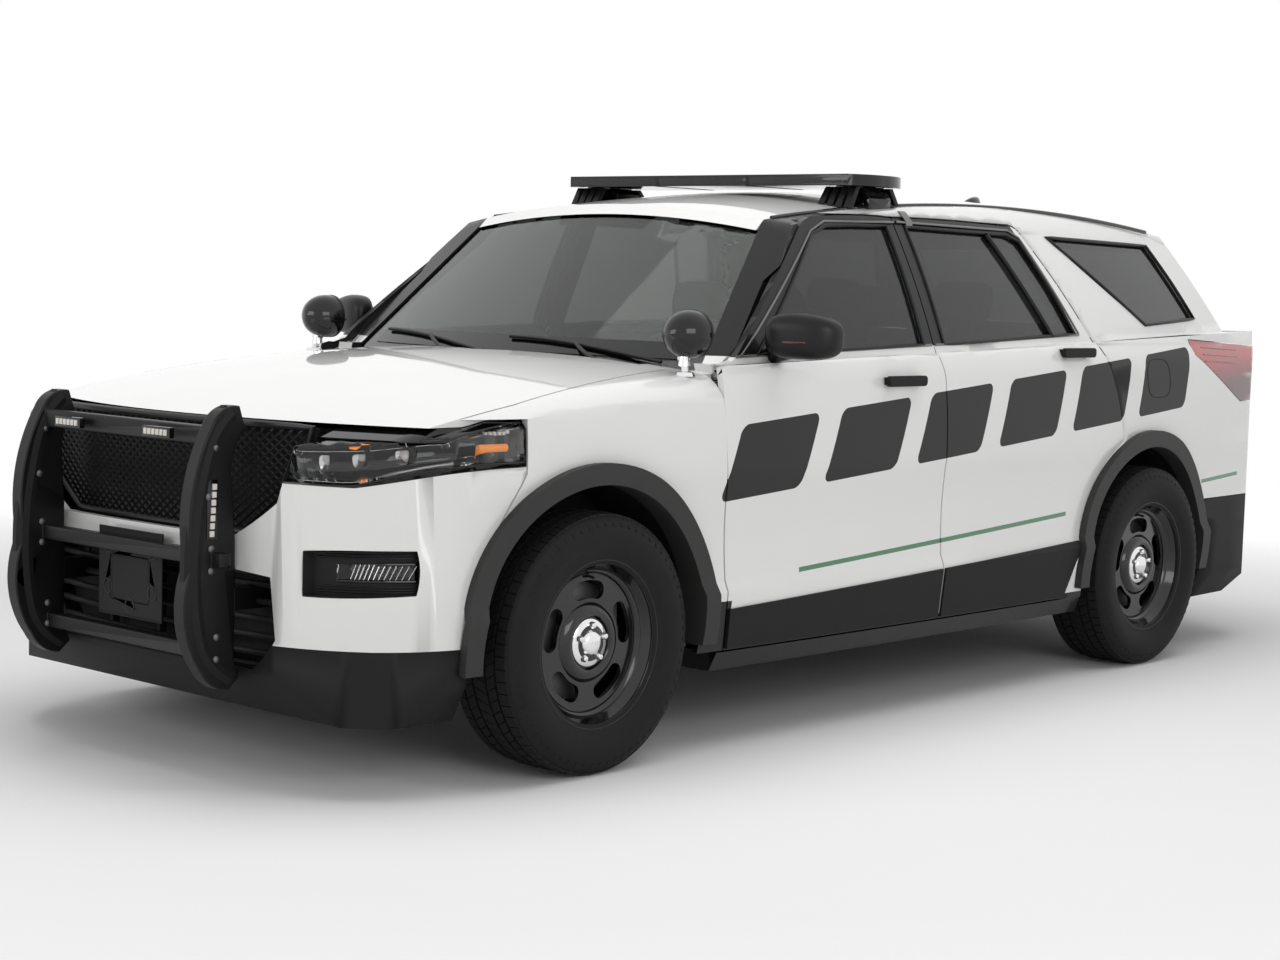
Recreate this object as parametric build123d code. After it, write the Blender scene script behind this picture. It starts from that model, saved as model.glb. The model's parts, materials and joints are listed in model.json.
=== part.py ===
from build123d import *
import os
from math import cos, degrees, hypot, radians, sin, sqrt, tan

os.makedirs("parts", exist_ok=True)

# Police SUV, five doors. Millimetres. Every piece is drawn with y measured
# back from the front axle (forward is -Y), +X to the driver's side and z up
# from the ground, and is moved at the end so that the origin lies on the
# ground in the middle of the overall length.

# ---------------------------------------------------------------- main sizes
WHEELBASE = 3025
TRACK = 1699
NOSE_OVERHANG = 885         # front axle to bumper face
TAIL_OVERHANG = 1135        # rear axle to rear bumper face
FLANK_HALF_WIDTH = 972      # door skins at their widest
MOULDING_PROUD = 28         # arch mouldings stand out from the skins
ROOF_HEIGHT = 1750
GROUND_CLEARANCE = 200
SHUT_GAP = 6                # gap between panels
FIT = 0.5                   # small clearance between seated pieces

# ---------------------------------------------------------------- panels
SKIN = 22                   # outer layer of a door or panel
DOOR_THICKNESS = 88         # whole door below the belt
FRAME_THICKNESS = 46        # window frames and pillars above the belt
DOOR_STEP = 34              # rebate between door skin and door body
GATE_THICKNESS = 66         # liftgate below its glass
ROOF_THICKNESS = 30
HOOD_THICKNESS = 24
SCREEN_SEAT = 30            # depth of the frame round windscreen and tail glass
GLASS = 5

# ---------------------------------------------------------------- heights
BELT = 1180                 # foot of the side windows
DOOR_BOTTOM = 300
CLADDING_TOP_FRONT = 432
CLADDING_TOP_REAR = 500
FLOOR_TOP = 350
FLOOR_THICKNESS = 40

# ---------------------------------------------------------------- wheels
TYRE_RADIUS = 376
TYRE_WIDTH = 255
RIM_LIP_RADIUS = 246
ARCH_RADIUS = 437           # opening in the body
MOULDING_BAND = 62          # width of the arch moulding

REAR_AXLE = WHEELBASE
NOSE = -NOSE_OVERHANG
TAIL = WHEELBASE + TAIL_OVERHANG
FAR = 1500                  # beyond every surface, for cutting tools


# ------------------------------------------------------------------ helpers
def outline(rows):
    """Closed face from (u, v, sag) rows, anticlockwise: sag is how far the
    stretch to the next row bulges outwards, 0 for a straight one."""
    edges = []
    for (u0, v0, sag), (u1, v1, _) in zip(rows, rows[1:] + rows[:1]):
        length = hypot(u1 - u0, v1 - v0)
        if sag == 0:
            edges.append(Line((u0, v0), (u1, v1)))
            continue
        middle = ((u0 + u1) / 2 + sag * (v1 - v0) / length,
                  (v0 + v1) / 2 - sag * (u1 - u0) / length)
        edges.append(ThreePointArc((u0, v0), middle, (u1, v1)))
    return Face(Wire(edges))


def both_sides(half):
    """Full outline from the rows of its +X half, centre to centre."""
    rows = half[:-1]
    for i in range(len(half) - 1, 0, -1):
        rows.append((-half[i][0], half[i][1], half[i - 1][2]))
    return rows


def side_prism(rows, x_from=-FAR, x_to=FAR):
    """Outline in (y, z), carried across the car from x_from to x_to."""
    return extrude(Plane.YZ.offset(x_from) * outline(rows), x_to - x_from)


def plan_prism(rows, z_from=0, z_to=2200):
    """Outline in (x, y), carried upwards."""
    return extrude(Plane.XY.offset(z_from) * outline(rows), z_to - z_from)


def front_prism(rows, y_from, y_to):
    """Outline in (x, z), carried back from y_from to y_to."""
    return extrude(Plane.XZ.offset(-y_to) * outline(rows), y_to - y_from)


def box(x_from, x_to, y_from, y_to, z_from, z_to):
    """Block between pairs of coordinates."""
    size = (x_to - x_from, y_to - y_from, z_to - z_from)
    centre = ((x_from + x_to) / 2, (y_from + y_to) / 2, (z_from + z_to) / 2)
    return Pos(*centre) * Box(*size)


def rod(start, end, radius):
    """Round bar between two points."""
    start, end = Vector(*start), Vector(*end)
    plane = Plane(origin=start, z_dir=end - start)
    return extrude(plane * Circle(radius), (end - start).length)


def lateral_disc(y, z, radius, x_from, x_to):
    """Cylinder across the car."""
    plane = Plane(origin=(x_from, y, z), z_dir=(1, 0, 0))
    return extrude(plane * Circle(radius), x_to - x_from)


def mirrored(shape):
    """The same piece on the other side of the car."""
    return mirror(shape, about=Plane.YZ)


def pair(shape):
    """Left and right copies as separate solids."""
    return Compound(children=solids_of(shape) + solids_of(mirrored(shape)))


def solids_of(shape):
    """Solids of a shape, largest first."""
    return sorted(shape.solids(), key=lambda solid: -solid.volume)


def main_solid(shape):
    """The largest solid of a cut shape."""
    return solids_of(shape)[0]


# ------------------------------------------------------------- body surfaces
FLANK_RADIUS = 40000        # gentle bow of the sides, seen from above
CABIN_RADIUS = 22000        # the side glass bows a little more
BOW_MIDDLE = 1500
ROOF_PEAK_Y = 2350
ROOF_FRONT_RADIUS = 9500
ROOF_REAR_RADIUS = 11000
ROOF_CROWN_RADIUS = 3980
HOOD_PEAK = 1178
HOOD_PEAK_Y = 700
HOOD_RADIUS = 6400
HOOD_CROWN_RADIUS = 8200
SCREEN_FOOT_Y = 440         # windscreen on the centre line
SCREEN_FOOT_Z = 1120
SCREEN_SLOPE = 42.4
SCREEN_BOW_RADIUS = 2700
TAILGLASS_FOOT_Y = TAIL - 178
TAILGLASS_FOOT_Z = 1215
TAILGLASS_SLOPE = 50
TAILGLASS_BOW_RADIUS = 3200
CABIN_START = 560           # hood surface ahead of here, belt behind
BELT_END = 1262             # belt height at the tail

W = FLANK_HALF_WIDTH
# cross-section of the lower side: height, set-in from the half width, sag
FLANK_ROWS = [(150, 95, 0), (300, 20, 0), (480, 0, 0), (515, 14, -9),
              (840, 3, 4), (1090, 16, 9), (1215, 58, 0), (1400, 70, 0)]
# cross-section of the cabin side: height, set-in, sag
CABIN_ROWS = [(1050, 44, 0), (1195, 50, 10), (1612, 237, 14), (1722, 350, 0),
              (1900, 350, 0)]
# half plan of the nose and tail corners: x, distance from the end, sag
NOSE_ROWS = [(0, 0, 10), (560, 38, 16), (800, 170, 22), (915, 420, 8), (960, 900, 0)]
TAIL_ROWS = [(0, 0, 10), (620, 40, 26), (850, 190, 20), (940, 480, 6), (985, 1000, 0)]


def arc_sag(reach, rise):
    """Sag of the half arc that falls by rise over reach from its top."""
    radius = (reach ** 2 + rise ** 2) / (2 * rise)
    return radius - sqrt(radius ** 2 - (reach ** 2 + rise ** 2) / 4)


def crown_half(reach, radius, top):
    """Rows of half a crown arc, from its edge to the centre line."""
    rise = radius - sqrt(radius ** 2 - reach ** 2)
    return [(reach, top - rise, arc_sag(reach, rise)), (0, top, 0)]


def bowed_side(table, inset, radius):
    """All that lies inside one side of the car: its half-section, turned
    about a far upright axis so that the side bows along its length."""
    rows = [(-FAR, table[0][0], 0)]
    rows += [(W - inwards - inset, z, sag) for z, inwards, sag in table]
    rows.append((-FAR, table[-1][0], 0))
    arc = degrees(2 * 3400 / radius)
    axis = Axis((W - radius, BOW_MIDDLE, 0), (0, 0, 1))
    face = Plane.XZ.offset(-BOW_MIDDLE) * outline(rows)
    return revolve(face.rotate(axis, -arc / 2), axis, arc)


def between_sides(table, inset, radius):
    """Room between the two bowed sides."""
    side = bowed_side(table, inset, radius)
    return side & mirrored(side)


def crowned(peak_y, peak_z, radius, half, depth, ahead, behind):
    """Space under a skin that is crowned across the car and curved along it,
    from a distance ahead of its peak to one behind."""
    rows = both_sides([(0, peak_z - depth, 0), (half[0][0], peak_z - depth, 0)] + half)
    axis = Axis((0, peak_y, peak_z - radius), (1, 0, 0))
    face = Plane.XZ.offset(-peak_y) * outline(rows)
    front, rear = degrees(ahead / radius), degrees(behind / radius)
    return revolve(face.rotate(axis, front), axis, -(front + rear))


def under_roof(drop):
    """Space under the roof skin lowered by drop."""
    top = ROOF_HEIGHT - drop
    half = crown_half(W, ROOF_CROWN_RADIUS, top)
    front = crowned(ROOF_PEAK_Y, top, ROOF_FRONT_RADIUS, half, 900, 2150, 0)
    rear = crowned(ROOF_PEAK_Y, top, ROOF_REAR_RADIUS, half, 900, 0, 2700)
    return front + rear


def under_hood(drop):
    """Space under the hood and fender tops lowered by drop."""
    top = HOOD_PEAK - drop
    crown = crown_half(870, HOOD_CROWN_RADIUS, top)
    half = [(W + 60, top - 190, 0), (W - 14, top - 170, 24), crown[0], crown[1]]
    return crowned(HOOD_PEAK_Y, top, HOOD_RADIUS, half, 1300, 1800, 300)


def swept_screen(foot_y, foot_z, slope, bow_radius, inset):
    """Everything behind a bowed screen that leans back by its slope."""
    foot_y += inset / sin(radians(slope))
    reach = 1100
    bow = bow_radius - sqrt(bow_radius ** 2 - reach ** 2)
    side = arc_sag(reach, bow)
    rows = [(0, foot_y, side), (reach, foot_y + bow, 0), (reach, foot_y + 6000, 0),
            (-reach, foot_y + 6000, 0), (-reach, foot_y + bow, side)]
    down, lift = 200, 1000
    along = Vector(0, cos(radians(slope)), sin(radians(slope)))
    start = along * (-down / along.Z)
    face = Pos(start.X, start.Y, foot_z + start.Z) * outline(rows)
    return extrude(face, (down + lift) / along.Z, dir=along)


def behind_windscreen(inset):
    """Space behind the windscreen's outer face moved in by inset."""
    return swept_screen(SCREEN_FOOT_Y, SCREEN_FOOT_Z, SCREEN_SLOPE, SCREEN_BOW_RADIUS, inset)


def ahead_of_tailglass(inset):
    """Space ahead of the tail glass's outer face moved in by inset."""
    space = swept_screen(-TAILGLASS_FOOT_Y, TAILGLASS_FOOT_Z, TAILGLASS_SLOPE,
                         TAILGLASS_BOW_RADIUS, inset)
    return mirror(space, about=Plane.XZ)


def belt_at(y):
    """Height of the belt line."""
    return BELT - 22 + (BELT_END - BELT + 22) * (y - CABIN_START) / (TAIL - CABIN_START)


def lower_profile(inset):
    """Side view of the body below the belt: nose, tail and underside."""
    n, t, i = NOSE, TAIL, inset
    return [(n + 120 + i, GROUND_CLEARANCE, 0), (t - 320, GROUND_CLEARANCE, 0),
            (t - 70 - i, 345, 12), (t - i, 600, 0), (t - i, 745, 14),
            (t - 66 - i, 822, 0), (t - 80 - i, 850, 14), (t - 168 - i, BELT_END, 0),
            (CABIN_START, belt_at(CABIN_START), 0),
            (CABIN_START, 1500, 0), (n + 70 + i, 1500, 0), (n + 70 + i, 1000, 0),
            (n + 42 + i, 940, 4), (n + 3 + i, 700, 0), (n + i, 620, 0),
            (n + 6 + i, 470, 10), (n + 40 + i, 300, 4)]


def plan_rows(inset):
    """Plan of the whole body with its rounded corners."""
    right = [(x - inset * (x > 0), NOSE + back + inset, sag) for x, back, sag in NOSE_ROWS]
    tail = [(x - inset * (x > 0), TAIL - ahead - inset, sag) for x, ahead, sag in TAIL_ROWS]
    turned = [(tail[i][0], tail[i][1], tail[i - 1][2]) for i in range(len(tail) - 1, 0, -1)]
    return both_sides(right + turned + [(0, TAIL - inset, 0)])


def lower_body(inset, drop, end_inset):
    """Body below the belt, as a full solid, moved in on every skin."""
    shape = between_sides(FLANK_ROWS, inset, FLANK_RADIUS)
    shape &= side_prism(lower_profile(end_inset))
    shape &= plan_prism(plan_rows(end_inset), 100, 1600)
    front = shape & box(-FAR, FAR, NOSE - 50, CABIN_START, 0, 1600) & under_hood(drop)
    return front + (shape & box(-FAR, FAR, CABIN_START, TAIL + 50, 0, 1600))


def cabin(inset, drop, glass_inset):
    """Cabin above the belt, as a full solid, moved in on every skin."""
    shape = between_sides(CABIN_ROWS, inset, CABIN_RADIUS)
    shape &= under_roof(drop)
    shape &= behind_windscreen(glass_inset)
    return shape & ahead_of_tailglass(glass_inset)


# ------------------------------------------------------------- side outlines
B_LINE = 1646               # shut line between the doors at mid height
ARCH_Z = 392                # centre height of the wheel arches
ARCH_OUTER = ARCH_RADIUS + MOULDING_BAND
FRONT_ARCH_Y = 0
REAR_ARCH_Y = REAR_AXLE
ARCH_EDGE = ARCH_OUTER + SHUT_GAP
LAMP_CORNER_Y = -275        # rear end of the headlamp and of the bumper cover
HOOD_REAR_Y = 474
FIREWALL_Y = 520
GATE_TOP_Y = TAIL - 700     # front edge of the liftgate in the roof
GATE_BOTTOM = 815
BUMPER_SPLIT = 600          # white cover above, black valance below
VALANCE_TOP = 405

# (y, z, sag): front door, anticlockwise from its lower front corner
FRONT_DOOR_ROWS = [(562, DOOR_BOTTOM, 0), (B_LINE + 8, DOOR_BOTTOM, 0), (B_LINE + 2, 1110, 0),
                   (B_LINE - 22, 1215, 0), (B_LINE - 26, 1634, 6), (1230, 1626, 10),
                   (1108, 1592, 4), (606, 1172, 0), (522, 1150, 6), (545, 800, 0)]
REAR_DOOR_ROWS = [(B_LINE + 8 + SHUT_GAP, DOOR_BOTTOM, 0), (REAR_AXLE - 575, DOOR_BOTTOM, 0),
                  (REAR_AXLE - ARCH_EDGE + 4, 455, -60), (REAR_AXLE - 205, 858, 8),
                  (2752, 1080, 6), (2668, 1236, 4), (2420, 1598, 14), (2340, 1630, 5),
                  (B_LINE - 26 + SHUT_GAP, 1634, 0), (B_LINE - 22 + SHUT_GAP, 1215, 0),
                  (B_LINE + 2 + SHUT_GAP, 1110, 0)]
FRONT_WINDOW_ROWS = [(715, 1188, 0), (B_LINE - 75, 1216, 0), (B_LINE - 72, 1606, 6),
                     (1240, 1596, 8), (1150, 1566, 3)]
REAR_WINDOW_ROWS = [(B_LINE + 42, 1218, 0), (2560, 1250, 0), (2378, 1578, 10), (2310, 1600, 4),
                    (B_LINE + 38, 1608, 0)]
QUARTER_WINDOW_ROWS = [(3140, 1284, 0), (3600, 1308, 0), (3395, 1590, 4), (2590, 1600, 10)]


def grown(rows, gap):
    """Outline face whose every stretch is moved outwards by a gap, or inwards
    if the gap is negative; neighbouring stretches meet where their chords do."""
    moved = []
    for k, (u, v, sag) in enumerate(rows):
        u_prev, v_prev, _ = rows[k - 1]
        u_next, v_next, _ = rows[(k + 1) % len(rows)]
        into, out = Vector(u - u_prev, v - v_prev), Vector(u_next - u, v_next - v)
        into, out = into.normalized(), out.normalized()
        turn = into.X * out.Y - into.Y * out.X
        if abs(turn) < 0.02:
            moved.append((u + gap * out.Y, v - gap * out.X, sag))
            continue
        slide = gap * (1 - into.dot(out)) / turn
        moved.append((u + gap * into.Y + slide * into.X, v - gap * into.X + slide * into.Y, sag))
    return outline(moved)


def side_cut(rows, gap, x_from, x_to=FAR):
    """Outline in (y, z) grown by a gap and carried across the car."""
    return extrude(Plane.YZ.offset(x_from) * grown(rows, gap), x_to - x_from)


def arch_disc(y, radius, x_from, x_to):
    """Round opening of a wheel arch."""
    return lateral_disc(y, ARCH_Z, radius, x_from, x_to)


# ------------------------------------------------------------- whole body forms
outer = lower_body(0, 0, 0) + cabin(0, 0, 0)
under_skin = lower_body(SKIN, HOOD_THICKNESS, SKIN) + cabin(SKIN, ROOF_THICKNESS, SKIN)


def inside_flank(depth):
    """All that lies inside the left side's skin moved in by a depth."""
    below = side_prism([(-900, 100, 0), (TAIL, 100, 0), (TAIL, belt_at(TAIL), 0),
                        (-900, belt_at(-900), 0)])
    lower = bowed_side(FLANK_ROWS, depth, FLANK_RADIUS) & below
    return lower + bowed_side(CABIN_ROWS, depth, CABIN_RADIUS)


ROOM_RADIUS = 26000
ROOM_STATIONS = [-200, 1200, 2300, 3200, 4000]
# inner faces of doors and pillars: height, set-in from the half width
ROOM_ROWS = [(100, DOOR_THICKNESS + 20), (1100, DOOR_THICKNESS + 16), (1190, DOOR_THICKNESS + 46),
             (1200, FRAME_THICKNESS + 52), (1612, FRAME_THICKNESS + 237),
             (1700, FRAME_THICKNESS + 330), (1900, FRAME_THICKNESS + 330)]
PILLAR_DEEPER = 24          # pillars reach further in than the door frames
PILLAR_ROWS = ROOM_ROWS[:3] + [(z, inwards + PILLAR_DEEPER) for z, inwards in ROOM_ROWS[3:]]


# seat of the door skins in the body side, deep enough for the edges ahead of
# the hinges to swing in: height, set-in from the half width
REBATE_ROWS = [(100, SKIN + 136), (480, SKIN + 56), (1095, SKIN + 66), (1150, SKIN + 80), (1215, SKIN + 89),
               (1400, SKIN + 152), (1612, SKIN + 258), (1722, SKIN + 372), (1900, SKIN + 372)]


def flat_side(table):
    """All that lies inside the left side at the set-ins given, with flat faces
    that follow the bow of the side in a few straight stretches."""
    space = None
    for y in ROOM_STATIONS:
        slope = -(y - BOW_MIDDLE) / ROOM_RADIUS
        bow = (y - BOW_MIDDLE) ** 2 / (2 * ROOM_RADIUS)
        start = y - 6000
        rows = [(-FAR, table[0][0], 0)]
        rows += [(W - inwards - bow - 6000 * slope, z, 0) for z, inwards in table]
        rows.append((-FAR, table[-1][0], 0))
        face = Plane.XZ.offset(-start) * outline(rows)
        slab = extrude(face, 12000 * sqrt(1 + slope ** 2), dir=Vector(slope, 1, 0).normalized())
        space = slab if space is None else space & slab
    return space


# cabin and cargo room in side view, behind the firewall
ROOM_PROFILE = [(FIREWALL_Y, FLOOR_TOP, 0), (TAIL - 230, FLOOR_TOP, 0), (TAIL - 155, 800, 0),
                (TAIL - 240, 1230, 0), (3560, 1575, 0), (1750, 1672, 0), (1130, 1575, 0),
                (700, 1190, 0), (640, 1130, 0), (FIREWALL_Y, 1095, 0)]
flank_outer = inside_flank(0)
flank_skin = inside_flank(SKIN)
skin_layer = flank_outer - flank_skin
left_room = flat_side(ROOM_ROWS)
rebate = flat_side(REBATE_ROWS)
pillar_room = flat_side(PILLAR_ROWS)
room = pillar_room & mirrored(pillar_room) & side_prism(ROOM_PROFILE)
nodes = {}


# --------------------------------------------------------------------- doors
def door(rows, window):
    """Thick door: skin with a stepped inner body, and its window cut out."""
    shape = skin_layer & side_cut(rows, 0, 500)
    shape += (flank_skin & side_cut(rows, -DOOR_STEP, 500)) - left_room
    return main_solid(shape - side_cut(window, 0, 500))


def pane(window, depth):
    """Bent side glass seated in its opening."""
    glass = between_sides(CABIN_ROWS, depth, CABIN_RADIUS)
    glass -= between_sides(CABIN_ROWS, depth + GLASS, CABIN_RADIUS)
    return main_solid(glass & side_cut(window, -FIT, 500))


CLADDING_PROUD = 9
CLADDING_INSET = 5


def cladding(rows):
    """Black lower cladding on a door, with its long lozenge groove."""
    shape = between_sides(FLANK_ROWS, -CLADDING_PROUD, FLANK_RADIUS) - outer
    band = [(400, DOOR_BOTTOM, 0), (2700, DOOR_BOTTOM, 0), (2700, CLADDING_TOP_REAR + 12, 0),
            (400, CLADDING_TOP_FRONT - 12, 0)]
    shape &= side_cut(rows, -CLADDING_INSET, 800) & side_cut(band, 0, 800)
    return main_solid(shape)


HANDLE_LENGTH = 205
# centre of each handle and how far its seat is set in from the half width
HANDLES = {"front": (1395, 1102, 16), "rear": (2490, 1186, 40)}


def handle(y, z, inwards):
    """Pull handle standing out on two feet."""
    x = W - inwards - (y - BOW_MIDDLE) ** 2 / (2 * FLANK_RADIUS)
    half = HANDLE_LENGTH / 2
    bar = fillet(box(x + 16, x + 34, y - half, y + half, z - 17, z + 17).edges().filter_by(Axis.X), 14)
    for side in (-1, 1):
        bar += box(x - 16, x + 17, y + side * (half - 30) - 16, y + side * (half - 30) + 16,
                   z - 12, z + 12)
    return bar - outer


DOORS = [("front", FRONT_DOOR_ROWS, FRONT_WINDOW_ROWS),
         ("rear", REAR_DOOR_ROWS, REAR_WINDOW_ROWS)]
for place, rows, window in DOORS:
    trim_parts = [cladding(rows), main_solid(handle(*HANDLES[place]))]
    pieces = {"door": door(rows, window), "door_glass": pane(window, 9),
              "door_trim": Compound(children=trim_parts)}
    for name, piece in pieces.items():
        nodes[f"{place}_{name}_left"] = piece
        nodes[f"{place}_{name}_right"] = mirrored(piece)

# ------------------------------------------------------------ hood and fenders
HOOD_SIDE_REAR = 752        # half width of the hood at the cowl
HOOD_SIDE_FRONT = 868       # and behind the headlamps
HOOD_LIP = 1000             # lower edge of the hood across the nose


def hood_area(gap):
    """Plan of the hood grown by a gap, above the nose edge."""
    rows = both_sides([(0, NOSE - 60, 0), (HOOD_SIDE_FRONT + gap, NOSE - 60, 0),
                       (HOOD_SIDE_FRONT + gap, LAMP_CORNER_Y, 3),
                       (HOOD_SIDE_REAR + gap, HOOD_REAR_Y + gap, 30), (0, HOOD_REAR_Y - 90 + gap, 0)])
    return plan_prism(rows, HOOD_LIP - gap, 1300)


hood_layer = outer - under_hood(HOOD_THICKNESS)
nodes["hood"] = main_solid(hood_layer & hood_area(0))

front_shell = outer - lower_body(SKIN, SKIN, SKIN)
FENDER_ROWS = [(-ARCH_RADIUS - 20, ARCH_Z - 80, 0), (562 - SHUT_GAP, DOOR_BOTTOM, 0),
               (545 - SHUT_GAP, 800, 0), (522 - SHUT_GAP, 1150, 0), (522 - SHUT_GAP, 1300, 0),
               (-640, 1300, 0), (-640, 1020, 0), (LAMP_CORNER_Y, 1020, 0),
               (LAMP_CORNER_Y, 870, 0), (-ARCH_RADIUS, 600, 0)]
arches_front = arch_disc(FRONT_ARCH_Y, ARCH_RADIUS + 14, -FAR, FAR)
arches_rear = arch_disc(REAR_ARCH_Y, ARCH_RADIUS + 14, -FAR, FAR)
fender = front_shell & side_cut(FENDER_ROWS, 0, 640) - arches_front - hood_area(SHUT_GAP)
nodes["front_fenders"] = pair(main_solid(fender))

# ------------------------------------------------------------------ front end
GRILLE_HALF = 600
GRILLE_TOP = HOOD_LIP - SHUT_GAP
GRILLE_ROWS = both_sides([(0, 690, 0), (400, 690, 4), (560, 790, 0), (GRILLE_HALF + 20, GRILLE_TOP, 0),
                          (0, GRILLE_TOP, 0)])
INTAKE_ROWS = both_sides([(0, 330, 0), (470, 330, 6), (560, 420, 0), (540, 585, 8), (0, 600, 0)])
FOG_ROWS = [(640, 545, 3), (868, 555, 4), (868, 675, 3), (640, 668, 4)]
LAMP_ROWS = [(575, 845, 0), (760, 842, 10), (1000, 925, 0), (1000, 1024, 0), (632, 996, 0)]


def front_cut(rows, gap, y_from=NOSE - 80, y_to=LAMP_CORNER_Y - SHUT_GAP):
    """Outline in (x, z) grown by a gap and carried back from the nose."""
    return extrude(Plane.XZ.offset(-y_to) * grown(rows, gap), y_to - y_from)


bumper_zone = box(-FAR, FAR, NOSE - 80, LAMP_CORNER_Y - SHUT_GAP, VALANCE_TOP, HOOD_LIP - SHUT_GAP)
lamp_zone = front_cut(LAMP_ROWS, 0)
lamp_zone += mirrored(lamp_zone)
lamp_clear = front_cut(LAMP_ROWS, 2)
lamp_clear += mirrored(lamp_clear)
fog_zone = front_cut(FOG_ROWS, 0)
fog_zone += mirrored(fog_zone)
cover = front_shell & bumper_zone
cover -= front_cut(GRILLE_ROWS, 3) + front_cut(INTAKE_ROWS, 3) + lamp_clear + fog_zone + arches_front
for tool in (side_cut(FENDER_ROWS, SHUT_GAP, 500), mirrored(side_cut(FENDER_ROWS, SHUT_GAP, 500))):
    cover -= tool
nodes["front_bumper_cover"] = main_solid(cover)

valance = front_shell & box(-FAR, FAR, NOSE - 80, -ARCH_RADIUS - 30, 0, VALANCE_TOP - 1)
valance -= front_cut(INTAKE_ROWS, 3) + arches_front
nodes["front_valance"] = main_solid(valance)

LAMP_DEPTH = 70
lamps = (outer - lower_body(LAMP_DEPTH, LAMP_DEPTH, LAMP_DEPTH)) & lamp_zone
lamps -= hood_area(SHUT_GAP) + hood_layer
nodes["headlamps"] = Compound(children=solids_of(lamps)[:2])

PUSH_X = 400                # uprights of the push bumper
PUSH_ARM = (485, 545)       # height of the arms that tie them to the crash beam
# grille: flat diamond mesh set back in its opening
MESH_PITCH_X = 104
MESH_PITCH_Z = 74
MESH_BAR = 11
MESH_THICKNESS = 12


def diamond(x, z):
    """One opening of the mesh."""
    half_x = MESH_PITCH_X / 2 - MESH_BAR
    half_z = MESH_PITCH_Z / 2 - MESH_BAR * MESH_PITCH_Z / MESH_PITCH_X
    return [(x, z - half_z, 0), (x + half_x, z, 0), (x, z + half_z, 0), (x - half_x, z, 0)]


def mesh_panel(rows, y, half_width, z_low, z_high):
    """Flat plate that fills an opening and is pierced by diamonds."""
    face = grown(rows, -1)
    field = grown(rows, -10)
    steps_z = int((z_high - z_low) / MESH_PITCH_Z * 2) + 1
    steps_x = int(half_width / MESH_PITCH_X) + 1
    cells = []
    for row in range(steps_z + 1):
        z = z_low + row * MESH_PITCH_Z / 2
        for column in range(-steps_x, steps_x + 1):
            cell = outline(diamond((column + 0.5 * (row % 2)) * MESH_PITCH_X, z))
            part = cell & field
            if part and part.area > 0.4 * cell.area:
                cells += part.faces()
    return extrude(Plane.XZ.offset(-y) * face.cut(*cells), -MESH_THICKNESS)


upper_mesh = mesh_panel(GRILLE_ROWS, NOSE + 75, GRILLE_HALF, 705, GRILLE_TOP) - lamp_clear
lower_mesh = mesh_panel(INTAKE_ROWS, NOSE + 60, 560, 345, 600)
for x in (-PUSH_X, PUSH_X):
    lower_mesh -= box(x - 24, x + 24, -FAR, 0, PUSH_ARM[0] - 4, PUSH_ARM[1] + 4)
nodes["grilles"] = Compound(children=[main_solid(upper_mesh), main_solid(lower_mesh)])

FOG_LAMP = [(700, 585, 0), (850, 590, 0), (850, 640, 0), (700, 632, 0)]
FOG_RECESS = 34             # depth of the lamp's black seat behind the cover
behind_seat = lower_body(SKIN + FOG_RECESS, SKIN + FOG_RECESS, SKIN + FOG_RECESS)
fog = (under_skin & front_cut(FOG_LAMP, 0)) - behind_seat
nodes["fog_lamps"] = pair(main_solid(fog))
bezel = (under_skin & (front_cut(FOG_ROWS, 14) - front_cut(FOG_LAMP, FIT))) - behind_seat
nodes["fog_bezels"] = pair(main_solid(bezel & box(575, FAR, NOSE, -ARCH_RADIUS - 50, 0, 900)))

# ---------------------------------------------------------------- arch mouldings
MOULDING_LIP = 12
MOULDING_FOOT = 330


def arch_moulding(y):
    """Proud moulding round one arch with a lip that turns into the opening."""
    above_foot = box(500, FAR, y - 2000, y + 2000, MOULDING_FOOT, 2000)
    opening = arch_disc(y, ARCH_RADIUS, 500, FAR + 10)
    proud = bowed_side(FLANK_ROWS, -MOULDING_PROUD, FLANK_RADIUS)
    ring = proud & (arch_disc(y, ARCH_OUTER, 640, FAR) - opening) & above_foot
    ring -= bowed_side(FLANK_ROWS, -FIT, FLANK_RADIUS)
    lip = proud & (arch_disc(y, ARCH_RADIUS + MOULDING_LIP, W - 90, FAR) - opening) & above_foot
    return main_solid(ring + lip)


mouldings = [arch_moulding(FRONT_ARCH_Y), arch_moulding(REAR_ARCH_Y)]
mouldings += [mirrored(piece) for piece in mouldings]
nodes["arch_mouldings"] = Compound(children=mouldings)

# ------------------------------------------------------------------- body side
ROOF_JOINT = 640            # half width of the roof panel
ROOF_FRONT_Y = 1030
GATE_HALF_TOP = 690
GATE_HALF = 640
LAMP_INNER = 590


def gate_area(gap):
    """Rear view of the liftgate grown by a gap, carried forward to its top edge."""
    rows = both_sides([(0, GATE_BOTTOM, 0), (600, GATE_BOTTOM, 0), (GATE_HALF, 1180, 0),
                       (GATE_HALF_TOP, 1290, 0), (640, 1560, 0), (ROOF_JOINT - SHUT_GAP, 1640, 0),
                       (ROOF_JOINT - SHUT_GAP, 1800, 0), (0, 1800, 0)])
    face = grown(rows, gap)
    return extrude(Plane.XZ.offset(-(TAIL + 60)) * face, TAIL + 60 - GATE_TOP_Y + gap)


def rear_lamp_area(gap):
    """Side view of the tail lamp, wrapped round the corner."""
    rows = [(3790, 985, 0), (TAIL + 40, 985, 0), (TAIL + 40, 1192, 0), (3410, 1228, 0), (3430, 1172, 0)]
    return side_cut(rows, gap, LAMP_INNER - 2 * gap)


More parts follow.
